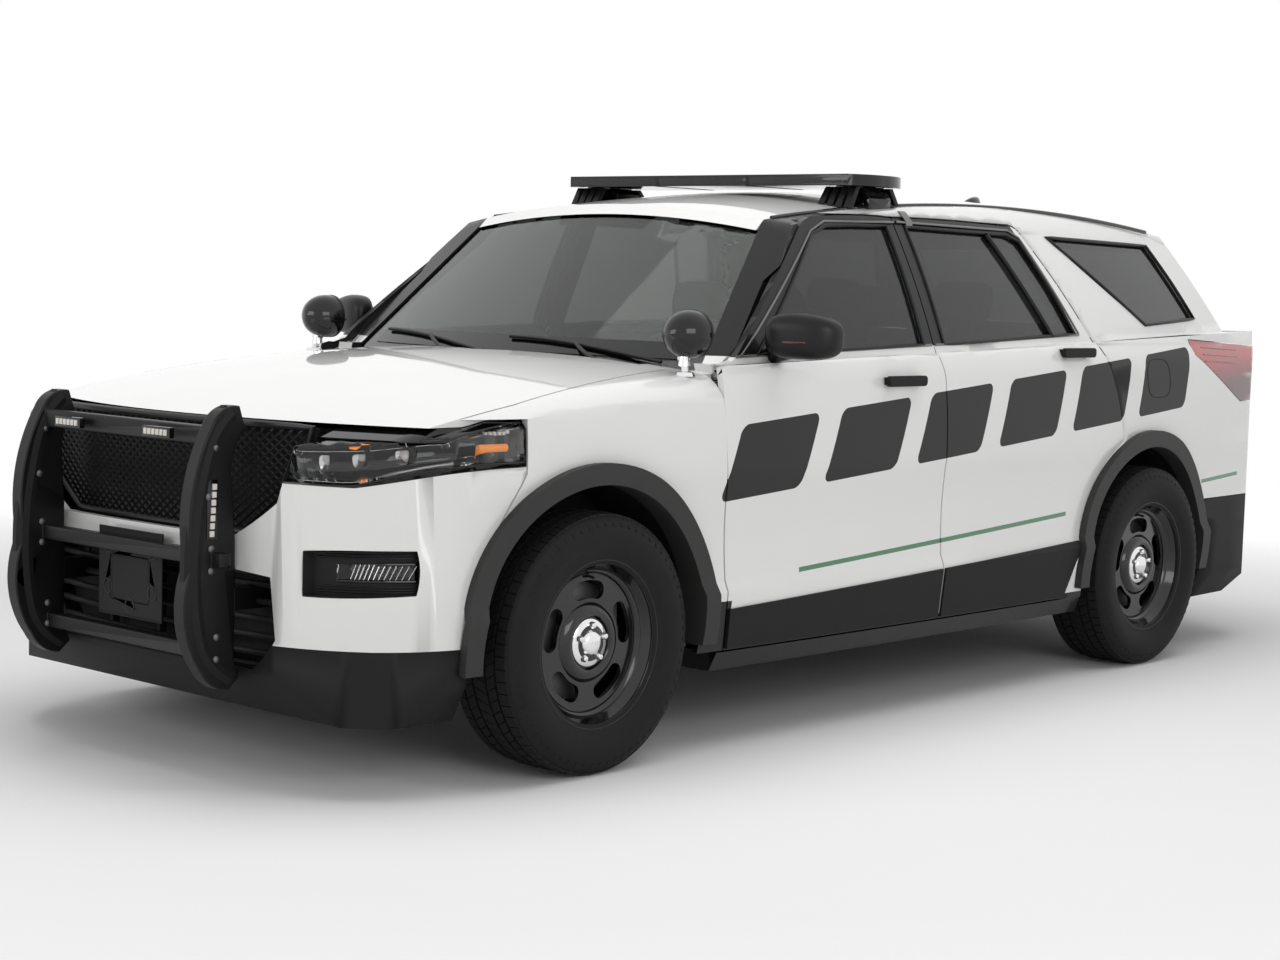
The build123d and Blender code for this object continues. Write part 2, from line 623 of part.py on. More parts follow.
BUMPER_ROWS = [(REAR_ARCH_Y + 300, 200, 0), (TAIL + 60, 200, 0), (TAIL + 60, GATE_BOTTOM - SHUT_GAP, 0),
               (TAIL - 330, GATE_BOTTOM - SHUT_GAP, 0), (TAIL - 420, 760, 0), (REAR_ARCH_Y + 440, 640, 0)]
bumper_cut = side_cut(BUMPER_ROWS, 0, -FAR)
SCREEN_ROWS = both_sides([(0, 1124, 0), (801, 1124, 0), (ROOF_JOINT - SHUT_GAP, 1616, 0), (0, 1616, 0)])
SILL_INNER = 790            # inner face of the sills
HINGE_POCKET = (846, 570, 636, 1126, 1163)   # room for the front door's upper corner: x from, y, z
body_zone = side_prism([(HOOD_REAR_Y + 60, 235, 0), (TAIL, 235, 0), (TAIL, 1900, 0), (430, 1900, 0),
                        (430, 1100, 0), (HOOD_REAR_Y + 60, 1100, 0)], ROOF_JOINT + FIT, FAR)
side_shape = (outer & body_zone) - room
side_shape -= box(0, SILL_INNER, 0, TAIL - 300, 200, 1000)
for _, rows, _ in DOORS:
    side_shape -= side_cut(rows, SHUT_GAP, 500) - rebate
    side_shape -= side_cut(rows, SHUT_GAP - DOOR_STEP, 300)
side_shape -= box(HINGE_POCKET[0], FAR, *HINGE_POCKET[1:])
for tool in (side_cut(QUARTER_WINDOW_ROWS, 0, 300), gate_area(SHUT_GAP), bumper_cut,
             rear_lamp_area(3), arches_rear, side_cut(FENDER_ROWS, SHUT_GAP, 300),
             hood_area(SHUT_GAP)):
    side_shape -= tool
side_shape -= front_prism(SCREEN_ROWS, 300, 1300)
body_side = main_solid(side_shape)
nodes["body_side_left"] = body_side
nodes["body_side_right"] = mirrored(body_side)

# ------------------------------------------------------------- roof and screens
roof = (under_roof(0) - under_roof(ROOF_THICKNESS)) & box(-ROOF_JOINT, ROOF_JOINT, 900, GATE_TOP_Y - SHUT_GAP,
                                                         1400, 1900)
nodes["roof_panel"] = main_solid(roof & behind_windscreen(0))

SCREEN_SET = 8              # glass sits this far under the surrounding panels
screen = behind_windscreen(SCREEN_SET) - behind_windscreen(SCREEN_SET + GLASS)
screen_hole = extrude(Plane.XZ.offset(-1300) * grown(SCREEN_ROWS, -1), 1000)
windscreen = main_solid((screen & screen_hole) & under_roof(ROOF_THICKNESS + 4))
quarter_pane = pane(QUARTER_WINDOW_ROWS, 9)
nodes["fixed_windows"] = Compound(children=[windscreen, quarter_pane, mirrored(quarter_pane)])

# ------------------------------------------------------------------ liftgate
gate_box = gate_area(0)
gate = (outer & gate_box) - side_prism(
    [(GATE_TOP_Y - 100, 100, 0), (TAIL - GATE_THICKNESS, 100, 0), (TAIL - 80 - GATE_THICKNESS, 850, 0),
     (TAIL - 236, 1230, 0), (GATE_TOP_Y - 100, 1230, 0)])
gate -= ahead_of_tailglass(48) & box(-FAR, FAR, 3000, 4200, 1229, 1572)
TAIL_WINDOW = both_sides([(0, 1262, 0), (630, 1262, 0), (585, 1560, 0), (0, 1575, 0)])
gate -= front_prism(TAIL_WINDOW, 3500, 4200) & ahead_of_tailglass(-60)
nodes["liftgate"] = main_solid(gate)
tail_pane = ahead_of_tailglass(SCREEN_SET) - ahead_of_tailglass(SCREEN_SET + GLASS)
tail_pane &= extrude(Plane.XZ.offset(-4200) * grown(TAIL_WINDOW, -FIT), 700)
nodes["liftgate_glass"] = main_solid(tail_pane)

# ------------------------------------------------------------------- rear end
tail_lamp = (outer & rear_lamp_area(0)) - room
tail_lamp -= gate_area(SHUT_GAP)
nodes["tail_lamps"] = pair(main_solid(tail_lamp))
REAR_SHELL = 26
bumper = outer - lower_body(REAR_SHELL, 40, REAR_SHELL)
rear_half = (bumper & bumper_cut) & box(0, FAR, 3400, TAIL + 60, 0, 1000)
rear_half -= arches_rear
rear_half -= arch_disc(REAR_ARCH_Y, ARCH_OUTER + 2, -FAR, FAR)
rear_full = rear_half + mirrored(rear_half)
nodes["rear_bumper_cover"] = main_solid(rear_full & box(-FAR, FAR, 3400, TAIL + 60, BUMPER_SPLIT + 2, 1000))
nodes["rear_valance"] = main_solid(rear_full & box(-FAR, FAR, 3400, TAIL + 60, 0, BUMPER_SPLIT))

# -------------------------------------------------------------------- floor
CARGO_FLOOR = 640
WHEELHOUSE_INNER = 620
RISER_Y = REAR_AXLE - 535   # step up to the cargo floor, behind the back seat
floor = box(-SILL_INNER + FIT, SILL_INNER - FIT, FIREWALL_Y, RISER_Y, FLOOR_TOP - FLOOR_THICKNESS, FLOOR_TOP)
floor += box(-SILL_INNER + FIT, SILL_INNER - FIT, RISER_Y, REAR_AXLE - 520, FLOOR_TOP - FLOOR_THICKNESS, CARGO_FLOOR)
floor += box(-WHEELHOUSE_INNER, WHEELHOUSE_INNER, REAR_AXLE - 520, TAIL - 190, CARGO_FLOOR - 30, CARGO_FLOOR)
floor += box(-SILL_INNER + FIT, SILL_INNER - FIT, FIREWALL_Y, FIREWALL_Y + 25, FLOOR_TOP, 1085)
floor += side_prism([(395, 1080, 0), (FIREWALL_Y + 25, 1080, 0), (FIREWALL_Y + 25, 1098, 0), (470, 1116, 0),
                     (395, 1112, 0)], -ROOF_JOINT + 1, ROOF_JOINT - 1)     # cowl
floor += box(-150, 150, FIREWALL_Y, 1900, FLOOR_TOP, FLOOR_TOP + 130)
wheelhouse = arch_disc(REAR_ARCH_Y, ARCH_RADIUS + 30, WHEELHOUSE_INNER + FIT, 838)
wheelhouse -= arch_disc(REAR_ARCH_Y, ARCH_RADIUS + 10, WHEELHOUSE_INNER + 20, 900)
wheelhouse &= box(0, FAR, REAR_AXLE - 500, REAR_AXLE + 500, ARCH_Z + 60, 1000)
wheelhouse &= flat_side([(z, inwards + FIT) for z, inwards in PILLAR_ROWS])
houses = pair(main_solid(wheelhouse))
nodes["floor_pan"] = Compound(children=[floor.solid()] + solids_of(houses))

# front structure: rails, cross beams, strut towers
RAIL_X = 470
RAIL_Z = 520
beam = box(-620, 620, NOSE + 150, NOSE + 215, RAIL_Z - 55, RAIL_Z + 55)
beam += box(-560, 560, NOSE + 130, NOSE + 170, 900, 950)
for x in (-RAIL_X, RAIL_X):
    beam += box(x - 40, x + 40, NOSE + 150, FIREWALL_Y - FIT, RAIL_Z - 55, RAIL_Z + 55)
    beam += box(x - 30, x + 30, NOSE + 135, NOSE + 200, RAIL_Z, 930)
TOWER_X = 560
tower = box(RAIL_X, TOWER_X + 75, -90, 90, RAIL_Z, 985) - box(RAIL_X + 40, FAR, -60, 60, 0, 960)
nodes["front_frame"] = beam + tower + mirrored(tower)
nodes["engine_block"] = box(-330, 330, -430, 200, 400, 960) + box(-200, 200, 200, 480, 380, 620)
# ------------------------------------------------------------------- interior
dash_rows = [(FIREWALL_Y + 30, 800, 0), (FIREWALL_Y + 200, 700, 0), (880, 820, 0), (900, 960, 12),
             (760, 1060, 20), (FIREWALL_Y + 30, 1060, 0)]
dash = side_prism(dash_rows, -780, 780)
dash += side_prism([(650, FLOOR_TOP + 140, 0), (900, FLOOR_TOP + 140, 0), (860, 830, 0), (650, 830, 0)], -130, 130)
nodes["dashboard"] = dash
WHEEL_X = 380
column_plane = Plane(origin=(WHEEL_X, 985, 985), x_dir=(1, 0, 0), z_dir=(0, 1, 0.42))
steering = column_plane * (Pos(0, 0, -14) * Cylinder(195, 28) - Pos(0, 0, -14) * Cylinder(168, 28))
steering += column_plane * Pos(0, 0, -20) * Cylinder(50, 40)
for angle in (0, 180, 270):
    steering += column_plane * Rot(0, 0, angle) * Pos(95, 0, -8) * Box(170, 34, 12)
steering += column_plane * Pos(0, 0, -75) * Cylinder(22, 110)
nodes["steering_wheel"] = steering - dash


def seat(x, y, width, lift=0):
    """Seat with cushion, backrest and headrest on a plinth."""
    half = width / 2
    z = FLOOR_TOP + lift
    cushion = [(y - 270, z + 200, 0), (y + 250, z + 170, 0), (y + 250, z + 300, 10), (y - 270, z + 340, 30)]
    back = [(y + 170, z + 300, 10), (y + 300, z + 270, 0), (y + 450, z + 890, 20), (y + 340, z + 900, 0)]
    shape = side_prism(cushion, x - half, x + half) + side_prism(back, x - half + 15, x + half - 15)
    shape += box(x - half + 60, x + half - 60, y - 200, y + 220, FLOOR_TOP + FIT, z + 220)
    for k in range(round(width / 520)):
        head_x = x - half + width / round(width / 520) * (k + 0.5)
        head = [(y + 350, z + 905, 0), (y + 450, z + 880, 0), (y + 480, z + 1065, 12), (y + 400, z + 1075, 0)]
        shape += side_prism(head, head_x - 130, head_x + 130)
    return shape


front_seats = pair(seat(380, 1500, 520).solid())
nodes["seats"] = Compound(children=solids_of(front_seats) + [seat(0, 2235, 1250, 25).solid()])

# -------------------------------------------------------------------- wheels
HALF_TRACK = TRACK / 2
HALF_TYRE = TYRE_WIDTH / 2
HALF_BEAD = 101
BEAD_RADIUS = 230
SHOULDER = 28
CAP_RADIUS = 70
DISC_OUT = 62               # disc face outboard of the wheel's middle
HUB_FACE = 45               # the wheel seats on its hub here


def spun(rows, x=HALF_TRACK):
    """Section in (distance along the axle, radius) turned about the axle."""
    face = Plane(origin=(x, 0, TYRE_RADIUS), x_dir=(1, 0, 0), z_dir=(0, -1, 0)) * outline(rows)
    return revolve(face, Axis((0, 0, TYRE_RADIUS), (1, 0, 0)), 360)


BED = BEAD_RADIUS - FIT
LIP = HALF_BEAD + 9
DEEP_WELL = 206             # inner radius of the rim barrel
TYRE_HALF_ROWS = [(HALF_BEAD - 3, BEAD_RADIUS), (LIP + FIT, RIM_LIP_RADIUS + 3), (HALF_TYRE, 305),
                  (HALF_TYRE - SHOULDER, TYRE_RADIUS)]
tyre = spun([(x, r, 0) for x, r in TYRE_HALF_ROWS]
            + [(-x, r, 0) for x, r in reversed(TYRE_HALF_ROWS)])
rim_rows = [(HUB_FACE, 0), (DISC_OUT, 0), (DISC_OUT - 4, DEEP_WELL), (LIP, RIM_LIP_RADIUS - 6),
            (LIP, RIM_LIP_RADIUS), (HALF_BEAD - 2, BED), (-HALF_BEAD + 2, BED), (-LIP, RIM_LIP_RADIUS),
            (-LIP + 8, DEEP_WELL + 6), (HUB_FACE, DEEP_WELL)]
rim = spun([(x, r, 0) for x, r in rim_rows])
WINDOWS = 5
WINDOW_RING = 152
wheel_axis = Axis((0, 0, TYRE_RADIUS), (1, 0, 0))
bean = SlotArc(CenterArc((0, 0), WINDOW_RING, 76, 28), 52)
for k in range(WINDOWS):
    cutter = Plane(origin=(700, 0, TYRE_RADIUS), x_dir=(0, 1, 0), z_dir=(1, 0, 0)) * bean
    rim -= extrude(cutter, 300).rotate(wheel_axis, 360 / WINDOWS * k)
rim += spun([(DISC_OUT - 8, 0, 0), (DISC_OUT + 16, 0, 0), (DISC_OUT + 12, 52, 0), (DISC_OUT - 4, CAP_RADIUS, 0)])
for place, y in (("front", 0), ("rear", REAR_AXLE)):
    for name, piece in (("tyre", tyre), ("rim", rim)):
        here = Pos(0, y, 0) * piece
        nodes[f"{place}_{name}_left"] = here
        nodes[f"{place}_{name}_right"] = mirrored(here)

# ------------------------------------------------------- knuckles and suspension
KNUCKLE_OUT = HALF_TRACK + 22
KNUCKLE_IN = HALF_TRACK - 85
DISC_BRAKE_RADIUS = 170
hub = lateral_disc(0, TYRE_RADIUS, 60, KNUCKLE_OUT - 60, HALF_TRACK + HUB_FACE - FIT)
hub += lateral_disc(0, TYRE_RADIUS, DISC_BRAKE_RADIUS, KNUCKLE_OUT - 42, KNUCKLE_OUT - 14)
carrier = box(KNUCKLE_IN, KNUCKLE_OUT - 41, -55, 55, TYRE_RADIUS - 130, TYRE_RADIUS + 130)
caliper = box(KNUCKLE_IN + 20, KNUCKLE_OUT - 5, 95, 165, TYRE_RADIUS - 60, TYRE_RADIUS + 90)
caliper += box(KNUCKLE_IN + 10, KNUCKLE_IN + 43, 0, 120, TYRE_RADIUS - 30, TYRE_RADIUS + 40)
knuckle = hub + carrier + caliper
nodes["front_knuckle_left"] = knuckle
nodes["front_knuckle_right"] = mirrored(knuckle)

ARM_GAP = 6
front_arm = extrude(Plane.XY.offset(TYRE_RADIUS - 175) * outline(
    [(430, -95, 0), (KNUCKLE_IN - 40, -42, 0), (KNUCKLE_IN + 20, -10, 0), (KNUCKLE_IN + 20, 10, 0),
     (KNUCKLE_IN - 40, 42, 0), (430, 95, 0), (390, 95, 0), (390, -95, 0)]), 30)
strut = rod((TOWER_X - 30, 0, 955), (KNUCKLE_IN - 115, 0, TYRE_RADIUS + 160), 28)
spring_tube = rod((TOWER_X - 30, 0, 945), (TOWER_X + 35, 0, 745), 58)
subframe = box(-430, 430, -120, -60, 215, 275) + box(-430, 430, 190, 260, 215, 275)
front_susp = subframe
for side in (front_arm, mirrored(front_arm)):
    front_susp += side
for x in (-400, 400):
    front_susp += box(x - 35, x + 35, -130, 330, 200, 290)
struts = pair(main_solid((strut + spring_tube) - tower))
nodes["front_suspension"] = Compound(children=[main_solid(front_susp)] + solids_of(struts))

DAMPER_X = 668
rear_hub = Pos(0, REAR_AXLE, 0) * (hub + carrier)
rear_susp = rear_hub + mirrored(rear_hub)
rear_susp += box(-400, 400, REAR_AXLE - 130, REAR_AXLE + 130, 300, 400)
for x_sign in (-1, 1):
    for y in (-90, 90):
        rear_susp += rod((x_sign * 380, REAR_AXLE + y, 330), (x_sign * (KNUCKLE_IN + 20), REAR_AXLE + y / 3, 290), 18)
    rear_susp += rod((x_sign * 380, REAR_AXLE, TYRE_RADIUS), (x_sign * (KNUCKLE_IN + 10), REAR_AXLE, TYRE_RADIUS), 22)
    rear_susp += rod((x_sign * DAMPER_X, REAR_AXLE + 47, 305), (x_sign * DAMPER_X, REAR_AXLE + 50, 815), 22)
nodes["rear_suspension"] = rear_susp
nodes["fuel_tank"] = box(-420, 60, 1700, 2380, 215, FLOOR_TOP - FLOOR_THICKNESS - 1)
exhaust = rod((230, 560, 255), (230, 2380, 255), 32) + rod((230, 2380, 255), (420, REAR_AXLE + 560, 260), 30)
exhaust += box(180, 300, 1250, 1750, 215, 300)
exhaust += box(250, 620, REAR_AXLE + 480, REAR_AXLE + 760, 250, 400)
exhaust += rod((560, REAR_AXLE + 675, 300), (575, TAIL - 345, 262), 34)
nodes["exhaust"] = exhaust

# ----------------------------------------------------------- police equipment
PUSH_FRONT = NOSE - 130
PUSH_TOP = 1040
PUSH_FOOT = 270
upright_rows = [(PUSH_FRONT + 120, PUSH_FOOT, 0), (PUSH_FRONT + 190, PUSH_FOOT + 60, 0),
                (PUSH_FRONT + 150, 560, 0), (PUSH_FRONT + 125, 860, -12), (PUSH_FRONT + 170, PUSH_TOP - 60, 0),
                (PUSH_FRONT + 150, PUSH_TOP, 18), (PUSH_FRONT + 60, PUSH_TOP - 50, 34),
                (PUSH_FRONT, 620, 40), (PUSH_FRONT + 30, 330, 14)]
upright = side_prism(upright_rows, PUSH_X - 24, PUSH_X + 24) - lower_body(-10, -10, -10)
push = main_solid(upright)
push += mirrored(push)
push += box(-PUSH_X, PUSH_X, PUSH_FRONT + 70, PUSH_FRONT + 100, 935, 985)
push += box(-PUSH_X - 60, PUSH_X + 60, PUSH_FRONT + 62, PUSH_FRONT + 100, 610, 650)
push += box(-PUSH_X, PUSH_X, PUSH_FRONT + 80, PUSH_FRONT + 120, 350, 390)
for x in (-PUSH_X, PUSH_X):
    push += box(x - 20, x + 20, PUSH_FRONT + 70, NOSE + 150 - FIT, *PUSH_ARM)
nodes["push_bumper"] = push
plate_y = PUSH_FRONT + 100 + FIT
PLATE_BOLT_SPACING = 177.8
PLATE_BOLT_RISE = 120.65
PLATE_HOLES_Z = 530
bracket = box(-150, 150, plate_y, plate_y + 6, 420, 670)
for x in (-1, 1):
    for z in (-1, 1):
        hole = Pos(x * PLATE_BOLT_SPACING / 2, plate_y, PLATE_HOLES_Z + z * PLATE_BOLT_RISE / 2)
        bracket -= hole * Rot(90, 0, 0) * Cylinder(4, 40)
nodes["plate_bracket"] = bracket

BAR_HALF = 690
BAR_Y = 1630
BAR_DEPTH = 300
BAR_HEIGHT = 38
BAR_ABOVE_ROOF = 16         # over the middle of the roof, under the bar
BAR_FOOT_TOP = ROOF_HEIGHT - (ROOF_PEAK_Y - BAR_Y) ** 2 / (2 * ROOF_FRONT_RADIUS) + BAR_ABOVE_ROOF
bar_rows = both_sides([(0, BAR_Y - BAR_DEPTH / 2, 0), (BAR_HALF - 45, BAR_Y - BAR_DEPTH / 2, 14),
                       (BAR_HALF, BAR_Y, 14), (BAR_HALF - 45, BAR_Y + BAR_DEPTH / 2, 0),
                       (0, BAR_Y + BAR_DEPTH / 2, 0)])
bar = plan_prism(bar_rows, BAR_FOOT_TOP, BAR_FOOT_TOP + BAR_HEIGHT)
foot_rows = [(500, 1600, 0), (670, 1600, 0), (670, BAR_FOOT_TOP - 40, 0), (640, BAR_FOOT_TOP - FIT, 0),
             (530, BAR_FOOT_TOP - FIT, 0), (490, BAR_FOOT_TOP - 22, 0)]
feet = front_prism(foot_rows, BAR_Y - 60, BAR_Y + 60) - under_roof(-1)
nodes["light_bar"] = Compound(children=[bar.solid()] + solids_of(pair(main_solid(feet))))

MIRROR_Y = 778
MIRROR_Z = 1247
shell = Pos(1040, MIRROR_Y, MIRROR_Z) * Box(225, 190, 145)
shell = chamfer(shell.edges(), 38)
arm = box(880, 1010, MIRROR_Y - 38, MIRROR_Y + 30, MIRROR_Z - 85, MIRROR_Z - 30)
door_mirror = main_solid((shell + arm) - flank_outer)
nodes["mirror_left"] = door_mirror
nodes["mirror_right"] = mirrored(door_mirror)
SPOT_PLACE = (840, 450, 1248)
spot = Pos(*SPOT_PLACE) * Rot(90, 0, 0) * Cylinder(74, 120)
spot = chamfer(spot.edges().filter_by(GeomType.CIRCLE), 26)
spot += rod((SPOT_PLACE[0], SPOT_PLACE[1], SPOT_PLACE[2] - 50), (860, SPOT_PLACE[1], 1116), 11)
nodes["spotlights"] = pair(main_solid(spot - outer))

# --------------------------------------------------------------------- export
extents = [piece.bounding_box() for piece in nodes.values()]
SHIFT = -(min(b.min.Y for b in extents) + max(b.max.Y for b in extents)) / 2
for name, piece in nodes.items():
    export_step(Pos(0, SHIFT, 0) * piece, f"parts/{name}.step")
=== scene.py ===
import json
import math
from functools import partial

import bmesh
import bpy
import numpy as np
from bpy.props import FloatProperty, FloatVectorProperty, IntProperty, PointerProperty
from mathutils import Matrix, Vector
from mathutils.bvhtree import BVHTree

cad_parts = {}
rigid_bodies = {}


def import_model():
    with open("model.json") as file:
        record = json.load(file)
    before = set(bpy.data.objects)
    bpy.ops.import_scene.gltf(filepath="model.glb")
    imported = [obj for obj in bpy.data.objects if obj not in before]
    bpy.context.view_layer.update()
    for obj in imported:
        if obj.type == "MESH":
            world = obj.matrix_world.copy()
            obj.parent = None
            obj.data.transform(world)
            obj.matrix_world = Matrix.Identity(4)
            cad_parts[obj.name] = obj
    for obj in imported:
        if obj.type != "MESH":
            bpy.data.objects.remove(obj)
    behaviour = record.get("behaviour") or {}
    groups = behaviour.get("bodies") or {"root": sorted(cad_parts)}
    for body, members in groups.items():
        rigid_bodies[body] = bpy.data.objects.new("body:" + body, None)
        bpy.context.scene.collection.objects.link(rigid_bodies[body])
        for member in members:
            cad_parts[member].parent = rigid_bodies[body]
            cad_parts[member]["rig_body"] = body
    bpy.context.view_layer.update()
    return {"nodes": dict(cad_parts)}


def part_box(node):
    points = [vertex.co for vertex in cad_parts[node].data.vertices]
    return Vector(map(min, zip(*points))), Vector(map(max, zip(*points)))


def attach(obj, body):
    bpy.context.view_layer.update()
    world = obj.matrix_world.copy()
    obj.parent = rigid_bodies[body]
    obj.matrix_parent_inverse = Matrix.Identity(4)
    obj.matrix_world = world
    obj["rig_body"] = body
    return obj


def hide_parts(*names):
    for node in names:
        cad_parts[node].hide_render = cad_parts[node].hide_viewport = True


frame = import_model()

bl_info = {
    "name": "Police SUV dressing",
    "version": (1, 0, 0),
    "blender": (4, 5, 0),
    "location": "View3D > Sidebar > Police SUV",
    "description": "Paint, glass, lamps, wheels, seats and police equipment around the packed frame",
    "category": "Object",
}


def centre_of(node):
    """Middle of a CAD node."""
    low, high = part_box(node)
    return (low + high) / 2


# places read from the frame, in metres
FRONT_WHEEL = centre_of("front_tyre_left")
REAR_WHEEL = centre_of("rear_tyre_left")
AXLE_Y = FRONT_WHEEL.y
WHEEL_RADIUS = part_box("front_tyre_left")[1].z / 2
TYRE_HALF_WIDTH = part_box("front_tyre_left")[1].x - FRONT_WHEEL.x
ARCH_CENTRE_Z = WHEEL_RADIUS + 0.016
ARCH_RADIUS = 0.437
ROOF_EDGE_Z = 1.68          # roof height at its edge, where a ray misses it
UPRIGHT_X = 0.400           # middle of each push-bumper upright
MODULE_X = 0.21             # middle of each push-bumper light
DOORS = [(place, side) for place in ("front", "rear") for side in ("left", "right")]
SIDES = (("left", 1), ("right", -1))


def place(x, back, z):
    """A point given by its distance behind the front axle."""
    return Vector((x, AXLE_Y + back, z))


# ------------------------------------------------------------------ settings
class PaintSettings(bpy.types.PropertyGroup):
    paint: FloatVectorProperty(name="Paint", description="Body colour", subtype="COLOR", size=3,
                               default=(0.80, 0.80, 0.79))
    livery: FloatVectorProperty(name="Livery", description="Colour of the slanted blocks on the sides",
                                subtype="COLOR", size=3, default=(0.016, 0.0155, 0.0155))
    stripe: FloatVectorProperty(name="Stripe", description="Colour of the thin stripe on the sides",
                                subtype="COLOR", size=3, default=(0.012, 0.15, 0.045))
    dust: FloatProperty(name="Dust", description="Share of road dust low on the panels", default=0.16,
                        min=0.0, max=1.0, subtype="FACTOR")


class WheelSettings(bpy.types.PropertyGroup):
    blocks: IntProperty(name="Tread blocks", description="Blocks round each rib of the tread", default=66,
                        min=24)
    groove: FloatProperty(name="Groove depth", description="Depth of the tread", default=0.008, unit="LENGTH",
                          subtype="DISTANCE")
    lugs: IntProperty(name="Wheel nuts", description="Nut caps on the centre cover", default=5, min=3)


class StageSettings(bpy.types.PropertyGroup):
    lens: FloatProperty(name="Lens", description="Focal length in millimetres", default=64.8)
    key_power: FloatProperty(name="Key light", description="Power of the overhead lamp", default=270.0,
                             unit="POWER")
    fill_power: FloatProperty(name="Fill light", description="Power of the side lamps", default=95.0,
                              unit="POWER")


# ------------------------------------------------------------------ materials
def shader(name, colour, roughness, metallic=0.0, **sockets):
    """A material with the given values set on the shader itself."""
    material = bpy.data.materials.new(name)
    material.use_nodes = True
    base = material.node_tree.nodes["Principled BSDF"]
    base.inputs["Base Color"].default_value = (*colour, 1)
    base.inputs["Roughness"].default_value = roughness
    base.inputs["Metallic"].default_value = metallic
    for socket, value in sockets.items():
        base.inputs[socket.replace("_", " ")].default_value = value
    return material


def node(material, kind, **inputs):
    """Adds a node, with inputs given as values or as sockets to link from."""
    tree = material.node_tree
    made = tree.nodes.new(kind)
    for key, value in inputs.items():
        key = key.replace("_", " ")
        socket = made.inputs[int(key[1:])] if key[0] == "i" and key[1:].isdigit() else made.inputs[key]
        if isinstance(value, bpy.types.NodeSocket):
            tree.links.new(value, socket)
        else:
            socket.default_value = value
    return made


def calc(material, operation, *values, clamp=False):
    """A Math node's result."""
    made = node(material, "ShaderNodeMath", **{f"i{k}": v for k, v in enumerate(values)})
    made.operation = operation
    made.use_clamp = clamp
    return made.outputs[0]


def coordinates(material):
    """Object coordinates."""
    return node(material, "ShaderNodeTexCoord").outputs["Object"]


def noise(material, scale, detail=3.0, roughness=0.5):
    """Factor of a noise texture."""
    made = node(material, "ShaderNodeTexNoise", Vector=coordinates(material), Scale=scale, Detail=detail,
                Roughness=roughness)
    return made.outputs["Fac"]


def ramp(material, factor, low, high):
    """Stretches a factor so that it runs from 0 at low to 1 at high."""
    made = node(material, "ShaderNodeMapRange", Value=factor, **{"From_Min": low, "From_Max": high})
    return made.outputs["Result"]


def blend_colour(material, factor, first, second):
    """Mixes two colours or colour sockets."""
    made = material.node_tree.nodes.new("ShaderNodeMix")
    made.data_type = "RGBA"
    for socket, value in ((made.inputs[0], factor), (made.inputs[6], first), (made.inputs[7], second)):
        if isinstance(value, bpy.types.NodeSocket):
            material.node_tree.links.new(value, socket)
        elif isinstance(value, (tuple, list)) or hasattr(value, "__len__"):
            socket.default_value = (*tuple(value)[:3], 1)
        else:
            socket.default_value = value
    return made.outputs[2]


def shader_input(material, name, socket):
    """Links a socket into the shader."""
    base = material.node_tree.nodes["Principled BSDF"]
    material.node_tree.links.new(socket, base.inputs[name])


def bump(material, height, strength, distance=0.001):
    """Roughens the surface by a height."""
    made = node(material, "ShaderNodeBump", Height=height, Strength=strength, Distance=distance)
    shader_input(material, "Normal", made.outputs["Normal"])


def mottled(material, colour, spread, scale):
    """Lets the colour wander a little over the surface."""
    dark = [c * (1 - spread) for c in colour]
    light = [min(1, c * (1 + spread)) for c in colour]
    shader_input(material, "Base Color", blend_colour(material, noise(material, scale), dark, light))


def moulded(name, colour, roughness, grain=900.0, depth=0.25, spread=0.12, **sockets):
    """Grained moulded plastic."""
    material = shader(name, colour, roughness, **sockets)
    mottled(material, colour, spread, 9)
    bump(material, noise(material, grain, 2), depth, 0.0006)
    return material


def road_dust(material, colour, amount, top=0.62):
    """Dust that gathers low on the panels."""
    height = node(material, "ShaderNodeSeparateXYZ", Vector=coordinates(material)).outputs["Z"]
    low = ramp(material, height, top, 0.25)
    cloud = calc(material, "MULTIPLY", low, noise(material, 14, 6, 0.7))
    share = calc(material, "MULTIPLY", cloud, amount, clamp=True)
    return blend_colour(material, share, colour, (0.30, 0.27, 0.23))


# stripe and slanted blocks along the sides: distances behind the front axle, heights
STRIPE_START = (0.90, 0.521)
STRIPE_END = (2.45, 0.607)
STRIPE_HALF = 0.0075
REAR_STRIPE = (3.50, 3.82, 0.672)
BLOCK_FIRST = 0.745
BLOCK_PITCH = 0.482
BLOCK_HALF = (0.185, 0.112)
BLOCK_COUNT = 6
BLOCK_LEAN = 0.40
BLOCK_CORNER = 0.030
BLOCK_BASE = 0.880          # height of the row at its first block
BLOCK_RISE = 0.080          # rise per metre
# black window frames: foot line (behind the front axle, height), slope, rear edge and top
FRAME_FOOT = (0.715, 1.184)
FRAME_SLOPE = 0.0335
FRAME_REAR = (2.578, 1.250, 0.555)
# black below this height: black cladding down to its lower edge, then painted shade under the sill below it
FRAME_TOP = 1.640
BLACK_SILL_AND_SHADE_TOP = 0.316            # black below this height
FENDER_FOOT = (0.452, 0.49, 0.085)   # black foot of the front fender: height, middle and half length


